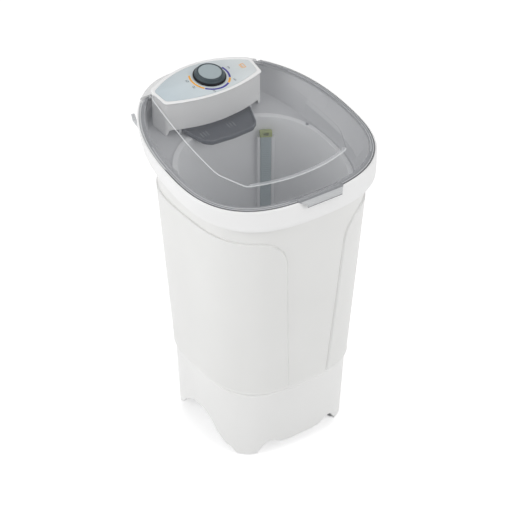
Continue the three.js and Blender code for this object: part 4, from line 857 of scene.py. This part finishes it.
def print_pieces():
    warm, cool, plain = Build(), Build(), Build()
    for made, start, end in ((warm, 151, 222), (cool, 224, 303), (warm, 305, 328), (cool, 330, 378)):
        count = int((end - start) / 4) + 2
        strip(made, on_dial(np.linspace(start, end, count), ARC_RADIUS), 5)
    for angle, text, reach in ((172, "15", 60.5), (197, "12", 60.5), (248, "9", 55.5), (322, "6", 60.5),
                               (367, "3", 60.5)):
        number(plain, text, *on_dial(angle, reach)[0], 7.0)
    for angle in (172, 208, 322):  # short strokes across the coloured arcs
        strip(plain, on_dial(angle, ARC_RADIUS + np.array([-1.2, 0, 1.2])), 1.6)
    number(warm, "10", 104, 226, 14)
    finish_piece(warm.raw("dial_marks_warm"), [orange], "washer")
    finish_piece(cool.raw("dial_marks_cool"), [purple], "washer")
    finish_piece(plain.raw("dial_marks_plain"), [grey_print], "washer")


print_pieces()

# ---------------------------------------------------------------- knob

def knob_pieces():
    base = (*KNOB, rim_z(KNOB[1]) + FACE)

    def flutes(angle, level):
        deep = {6: 0.15, 7: 0.55, 8: 0.6, 9: 0.6, 10: 0.5, 11: 0.15}.get(level, 0.0)
        return -deep * (0.5 - 0.5 * np.cos(44 * angle)) ** 3

    profile = [(6, 0.6), (39.7, 0.6), (40.5, 1.2), (40.5, 3.0), (39.9, 4.2), (38.4, 5.4), (37.0, 5.8),
               (6, 5.8)]
    foot = Build().loft(turned(profile, base, 132, tilt=True), closed=True).raw("knob_base_ring")
    profile = [(6, 5.8), (36.6, 5.8), (37.4, 6.0), (37.5, 6.5), (37.1, 7.0), (36.4, 7.4), (35.7, 7.8),
               (35.2, 8.2), (34.6, 9.4), (34.0, 11.0), (33.4, 12.8), (32.8, 13.9), (31.8, 14.5), (29.6, 14.6),
               (28.7, 14.4), (28.3, 13.6), (28.3, 12.6), (6, 12.6)]
    grip = Build().loft(turned(profile, base, 352, tilt=True, wave=flutes), closed=True).raw("knob_body")
    finish_piece(grip, [slate], "knob", ["timer_knob"], 50)
    finish_piece(foot, [ink_black], "knob", (), 40)
    profile = [(27.9, 12.9), (28.0, 13.9), (27.6, 14.5), (26.6, 14.75), (20, 14.4), (11, 14.2), (2, 14.15)]
    disc = Build().loft(turned(profile, base, 128, tilt=True)).raw("knob_disc")
    finish_piece(disc, [cap_grey], "knob", ["knob_cap"], 50)


knob_pieces()

# ---------------------------------------------------------------- lid

RIDGE = [(0, -166.5), (45, -164.5), (95, -156), (138, -143), (171, -76), (173, 0), (170, 70), (162, 145),
         (152.4, 222), (124, 246), (0, 252)]
RIDGE_FRONT, RIDGE_REAR = (-165.0, 21.0), (163.0, 13.4)  # y and height above the rim
RIDGE_SOFT = 70


def ridge_loop(amount, shares):
    """The lid's raised middle: a soft polygon with its front corners cut off, an amount inside its edge."""
    flat = spread(inset(ridge, amount), shares)
    angle = np.arctan2(flat[:, 1], flat[:, 0])
    facing = np.column_stack([np.cos(angle), np.sin(angle)])
    total = np.zeros(len(flat))
    for (x0, y0), (x1, y1) in zip(RIDGE[:-1], RIDGE[1:]):
        for sx in (1, -1):
            normal = unit(np.array([(y1 - y0) * sx, -(x1 - x0)], dtype=float))
            distance = normal @ np.array([x0 * sx, y0]) - amount
            ahead = facing @ normal
            total += np.where(ahead > 1e-3, ahead / distance, 0.0) ** RIDGE_SOFT
    return facing * (total ** (-1 / RIDGE_SOFT))[:, None]


def lid_shape():
    """Rings from the underside's middle, round the edge, to the top's middle, and each strip's look: plain
    smoke, or a copy of it that paints a highlight or shade.
    """
    edge = inset(rim, 5.7)
    flange = inset(edge, 12)
    low, high = -2.7, 0.1
    shares = even(56)
    count = 4 * 56  # points round a ring: the first is at the right, 56 at the rear, 168 at the front
    (front_y, front_rise), (rear_y, rear_rise) = RIDGE_FRONT, RIDGE_REAR

    def middle(amount, drop):
        flat = ridge_loop(amount, shares)
        share = np.minimum((flat[:, 1] - front_y) / (rear_y - front_y), 1)
        return on_rim(flat, front_rise + (rear_rise - front_rise) * share + drop)

    def outer(shape, lift):
        return rim_ring(shape, shares, lift)

    def look(inside, chosen, other):
        return [chosen if inside(k) else other for k in range(count)]

    # Painted light by side of the lid: highlights on the edge bead at left and right, with the darker grey
    # elsewhere; a highlight along the ridge at rear, left and front, with painted shade on the right; a soft
    # painted highlight at the ridge's front; a lighter rim at rear left, with a painted dark line round the
    # rest
    sides = look(lambda k: 100 <= k < 158 or k >= 200 or k < 24, PAINTED_EDGE_HIGHLIGHT, PAINTED_GREY_SHADE)
    ridge_highlight_and_shade = look(lambda k: 56 <= k < 196, PAINTED_EDGE_HIGHLIGHT, SHADE)
    glow = look(lambda k: 142 <= k < 196, PAINTED_SOFT_HIGHLIGHT, CLEAR)
    rim_painted_light_and_shade = look(lambda k: 56 <= k < 110, PAINTED_LIGHT_BAND, PAINTED_DARK_LINE)
    steps = [
        (middle(20, -2.8), CLEAR), (middle(1.4, -2.8), CLEAR), (middle(-2.6, -5.8), CLEAR),
        (outer(inset(flange, 5.6), low + 4), CLEAR), (outer(inset(flange, 2.8), low), CLEAR),
        (outer(inset(edge, 0.5), low), rim_painted_light_and_shade), (outer(edge, low + 0.5), rim_painted_light_and_shade),
        (outer(edge, high - 0.6), rim_painted_light_and_shade), (outer(inset(edge, 0.6), high), rim_painted_light_and_shade),
        (outer(inset(edge, 2.0), high), PAINTED_LIGHT_BAND), (outer(inset(edge, 3.6), high), PAINTED_GREY_SHADE),
        (outer(inset(edge, 7.2), high), sides), (outer(inset(edge, 7.9), high + 0.5), sides),
        (outer(inset(edge, 8.6), high), PAINTED_GREY_SHADE), (outer(inset(flange, -1.2), high), PAINTED_GREY_SHADE),
        (outer(inset(flange, 0.2), high + 0.8), CLEAR), (outer(inset(flange, 1.6), high + 3.6), CLEAR),
        (outer(inset(flange, 2.6), high + 4.4), CLEAR),
        (middle(-9, -4.6), CLEAR), (middle(-4.6, -3.0), CLEAR), (middle(-3.2, -1.8), ridge_highlight_and_shade),
        (middle(-1.0, -0.5), glow), (middle(0.8, -0.1), glow),
        (middle(5.0, 0), CLEAR), (middle(20, 0), CLEAR),
    ]
    rings, marks = zip(*steps)
    return rings, marks[:-1]


def lid_handle():
    """The handle at the front: a plate, a tongue with a lip that hangs down, and a step behind."""
    offset, half, tip, reach, thick = 10, 62, 48, 13, 3
    front_y = BODY_Y - rim["front"]
    tip_y = front_y - reach
    root, neck = front_y + 9, front_y + 3
    split = front_y - 1.5  # the plate ends and the tongue begins here, a tenth apart
    wing = half - (half - tip) * (neck - split) / (reach + 3)
    left, right = offset - wing, offset + wing
    plate = [(offset - half, root), (offset - half, neck), (left, split), (right, split),
             (offset + half, neck), (offset + half, root)]
    tongue = [(left, split + 0.1), (offset - tip, tip_y), (offset + tip, tip_y), (right, split + 0.1)]

    def bar(width, near, far):
        return box_loop(offset - width, offset + width, near, far)

    # The plate takes the darker grey copy of the smoke, and the tongue and lip take the lighter one: painted
    # shade and painted light. The strip under the lip is a painted dark line.
    return [
        block("handle", plate, 0.3, 3.3, PAINTED_GREY_SHADE),
        block("tongue", tongue, 0.35, 3.25, PAINTED_LIGHT_BAND),
        block("lip", bar(tip - 0.1, tip_y + 0.05, tip_y + thick), -4.7, 3.1, PAINTED_LIGHT_BAND),
        block("lip_line", bar(tip - 0.2, tip_y + 0.1, tip_y + thick - 0.05), -6.5, -4.6, PAINTED_DARK_LINE),
        block("step", bar(half - 0.4, front_y + 7.4, front_y + 16), -2.3, 3.2),
    ]


def lid_piece():
    rings, marks = lid_shape()
    thing = Build().loft(rings, marks=marks).raw("lid_shell", smoked)
    swing_x = HINGE_INNER - 0.3  # the lugs stand outside the gap that lets the lid swing
    cuts = (("notch", console_loop(CONSOLE_GAP)), ("swing", box_loop(-swing_x, swing_x, 222, DECK_Y)),
            ("rear", box_loop(-500, 500, 242, 500)))
    carve(thing, [block(name, flat, -20, 60) for name, flat in cuts])
    lugs = Build()
    hinge = (HINGE_Y, rim_z(HINGE_Y) + HINGE_LIFT)
    for side in (-1, 1):
        lugs.loft([np.insert(circle(hinge, radius, 40), 0, side * x, axis=1) for x, radius in (
            (HINGE_INNER, 6.4), (HINGE_INNER + 0.6, 7), (HINGE_OUTER - 0.6, 7), (HINGE_OUTER, 6.4))])
    carve(thing, [lugs.raw("lugs")], "UNION")
    carve(thing, lid_handle(), "UNION")
    finish_piece(thing, smoked, "lid", ["lid"], 30)


lid_piece()

# ---------------------------------------------------------------- soap tray

def tray_loop(amount):
    width, front, rear = 96.9 - amount, 107 + amount, 236 - amount
    shares = [(1, .75), (.97, .5), (.78, .12), (.6, .03), (0, 0)]
    right = [(a * width, front + b * (rear - front)) for a, b in shares]
    left = [(-x, y) for x, y in right[:-1][::-1]]
    loop = np.array([(width, rear)] + right + left + [(-width, rear)])
    out = []
    for k, here in enumerate(loop):
        back, onward = loop[k - 1] - here, loop[(k + 1) % len(loop)] - here
        reach = min(3.5, np.linalg.norm(back) * 0.45, np.linalg.norm(onward) * 0.45)
        out.append(bend(here + unit(back) * reach, here, here + unit(onward) * reach, 6))
    return np.concatenate(out)


def tray_piece():
    low = -73.2
    floor, top = low + 2.5, low + 11.5
    steps = [(1.2, low), (0.3, low + 0.3), (0, low + 1.2), (0, top - 1), (0.3, top - 0.3), (0.9, top),
             (1.7, top), (2.3, top - 0.3), (2.5, top - 1), (2.5, low + 4), (3.1, low + 2.9), (4.5, floor)]
    rings = [on_rim(tray_loop(amount), lift) for amount, lift in steps]
    made = Build().loft(rings, marks=[0, 0, 0, 2, 2, 2, 2, 2, 0, 0, 0])
    for centre in (-63, -55, -47, 13, 21, 29):  # printed bars on the tray's floor
        loop = rounded_rect(centre - 0.7, centre + 0.7, 141.4, 158.6, 0.6, 4)
        made.add(*prism(loop, floor - 0.2, floor + 0.9), 1)
    looks = [dark_plastic, tray_print, tray_edge]
    finish_piece(made.raw("tray_bowl"), looks, "tray", ["soap_tray"], 40)


tray_piece()

# ---------------------------------------------------------------- agitator

def agitator_piece():
    low, start, end, rise = TUB_FLOOR + 4, 24, 108, 26

    def wave(radius, angle):
        """Four curved vanes between the two radii."""
        body = math.sin(math.pi * (radius - start) / (end - start)) ** 0.6
        turn = 0.3 + 0.0025 * (radius - start)
        return rise * body * np.maximum(0, np.cos(4 * (angle - turn))) ** 14

    count = 192
    angle = 2 * np.pi * np.arange(count) / count
    profile = [(60, 0), (109, 0), (111.4, 0.8), (112, 3), (111.2, 5.4), (108, 7.2), (100, 9.6), (88, 12.6),
               (76, 16.5), (62, 22), (48, 28.5), (38, 34), (31, 39.5), (26, 43.6), (20, 45.6), (12, 46),
               (4, 46)]
    rings = []
    for radius, height in profile:
        lift = wave(radius, angle) if start < radius < end and height > 0 else np.zeros(count)
        rings.append(np.column_stack([circle((0, TUB_Y), radius, count), low + height + lift]))
    thing = Build().loft(rings).raw("agitator_wheel")
    finish_piece(thing, [white_gloss], "agitator", ["agitator"], 50)


agitator_piece()

# ---------------------------------------------------------------- feet

def feet():
    profile = [(9.6, 0), (10.6, 0.4), (11, 1.2), (10.5, 1.7), (10.5, 2.1), (11, 2.6), (11, 3.4), (10.4, 4.0),
               (4.2, 4.0), (4, 5), (4, 12), (3.4, 12.6)]
    for k, (x, y) in enumerate(((-124.0, -136.0), (124.0, -136.0), (124.0, 136.0), (-124.0, 136.0))):
        thing = Build().loft(turned(profile, (x, y, 0), 48)).raw(f"foot_{k + 1}")
        finish_piece(thing, [pale], "washer", [f"foot_pad_{k + 1}"], 50)


feet()

# ---------------------------------------------------------------- materials of the CAD nodes that stay

STAY = (  # a look and how the names begin that have it; the first fit counts
    (steel, ("cover_screw", "tub_screw", "bearing_screw", "motor_screw", "hinge_pin", "timer_shaft",
             "agitator_shaft", "motor_shaft", "lower_bearing", "upper_bearing", "motor_bracket",
             "capacitor_clip")),
    (motor_metal, ("bearing_housing", "driven_pulley", "motor_housing", "motor_pulley")),
    (pale, ("bottom_cover", "tray_rail", "inlet_nozzle", "water_duct", "timer_mechanism", "hose_hook")),
    (rubber, ("shaft_seal", "drain_elbow", "cord_gland")),
    (belt, ("drive_belt",)),
    (slate, ("capacitor",)),
)
for name, node in nodes.items():
    look = next((material for material, starts in STAY if name.startswith(starts)), None)
    if look:
        node.data.materials.clear()
        node.data.materials.append(look)

# ---------------------------------------------------------------- stage, light and camera

def seen_by_eye(tree):
    """1 for rays from the camera, straight, mirrored or through the lid, and 0 for those that only light."""
    path = add_node(tree, "ShaderNodeLightPath")
    seen = path.outputs["Is Camera Ray"]
    for kind in ("Is Glossy Ray", "Is Transmission Ray"):
        either = add_node(tree, "ShaderNodeMath", operation="MAXIMUM")
        tree.links.new(seen, either.inputs[0])
        tree.links.new(path.outputs[kind], either.inputs[1])
        seen = either.outputs[0]
    return seen


def stage():
    half = 9.0
    mesh = bpy.data.meshes.new("floor")
    corners = [(x, y, 0) for x, y in box_loop(-half, half, -half, half)]
    mesh.from_pydata(corners, [], [(0, 1, 2, 3)])
    floor = bpy.data.objects.new("floor", mesh)
    bpy.context.scene.collection.objects.link(floor)
    material, tree, base = shader("floor", (0.8, 0.8, 0.8), 0.9, specular=0.0)
    glow = add_node(tree, "ShaderNodeMath", operation="MULTIPLY")
    glow.inputs[1].default_value = 0.55
    tree.links.new(seen_by_eye(tree), glow.inputs[0])
    tree.links.new(glow.outputs[0], base.inputs["Emission Strength"])
    base.inputs["Emission Color"].default_value = (1, 1, 1, 1)
    mesh.materials.append(material)
    world = bpy.data.worlds.new("studio")
    bpy.context.scene.world = world
    world.use_nodes = True
    tree = world.node_tree
    sky = tree.nodes["Background"]
    sky.inputs["Color"].default_value = (1, 1, 1, 1)
    strength = add_node(tree, "ShaderNodeMapRange")
    strength.inputs["To Min"].default_value = 0.52
    strength.inputs["To Max"].default_value = 1.0
    tree.links.new(seen_by_eye(tree), strength.inputs["Value"])
    tree.links.new(strength.outputs["Result"], sky.inputs["Strength"])


def lamp(name, where, target, size, power):
    data = bpy.data.lights.new(name, "AREA")
    data.shape = "DISK"
    data.size = size
    data.energy = power
    thing = bpy.data.objects.new(name, data)
    bpy.context.scene.collection.objects.link(thing)
    thing.location = where
    aim = Vector(target) - Vector(where)
    thing.rotation_euler = aim.to_track_quat("-Z", "Y").to_euler()


def camera():
    """The photo's camera: it looks at a point 0.45 m up, from a turn and a lift in degrees."""
    data = bpy.data.cameras.new("camera")
    data.sensor_width = 36
    data.lens = 127.39
    data.clip_end = 50
    thing = bpy.data.objects.new("camera", data)
    bpy.context.scene.collection.objects.link(thing)
    bpy.context.scene.camera = thing
    turn, lift, distance = math.radians(-35.241), math.radians(34.825), 4.373
    back = Vector((math.sin(turn) * math.cos(lift), -math.cos(turn) * math.cos(lift), math.sin(lift)))
    right = Vector((math.cos(turn), math.sin(turn), 0))
    target = Vector((0, SHIFT_Y * 0.001, 0.45)) - right * 0.0099 + back.cross(right) * 0.0087
    thing.location = target + back * distance
    thing.rotation_euler = (-back).to_track_quat("-Z", "Y").to_euler()


stage()
lamp("key", (-3.3, 0.2, 1.9), (0, 0, 0.5), 2.2, 50)
lamp("fill", (1.2, -3.2, 2.2), (0, 0, 0.6), 2.4, 44)
lamp("top", (0.3, 0.6, 3.4), (0, 0, 0.6), 2.4, 10)
camera()
bpy.context.scene.view_settings.view_transform = "Standard"
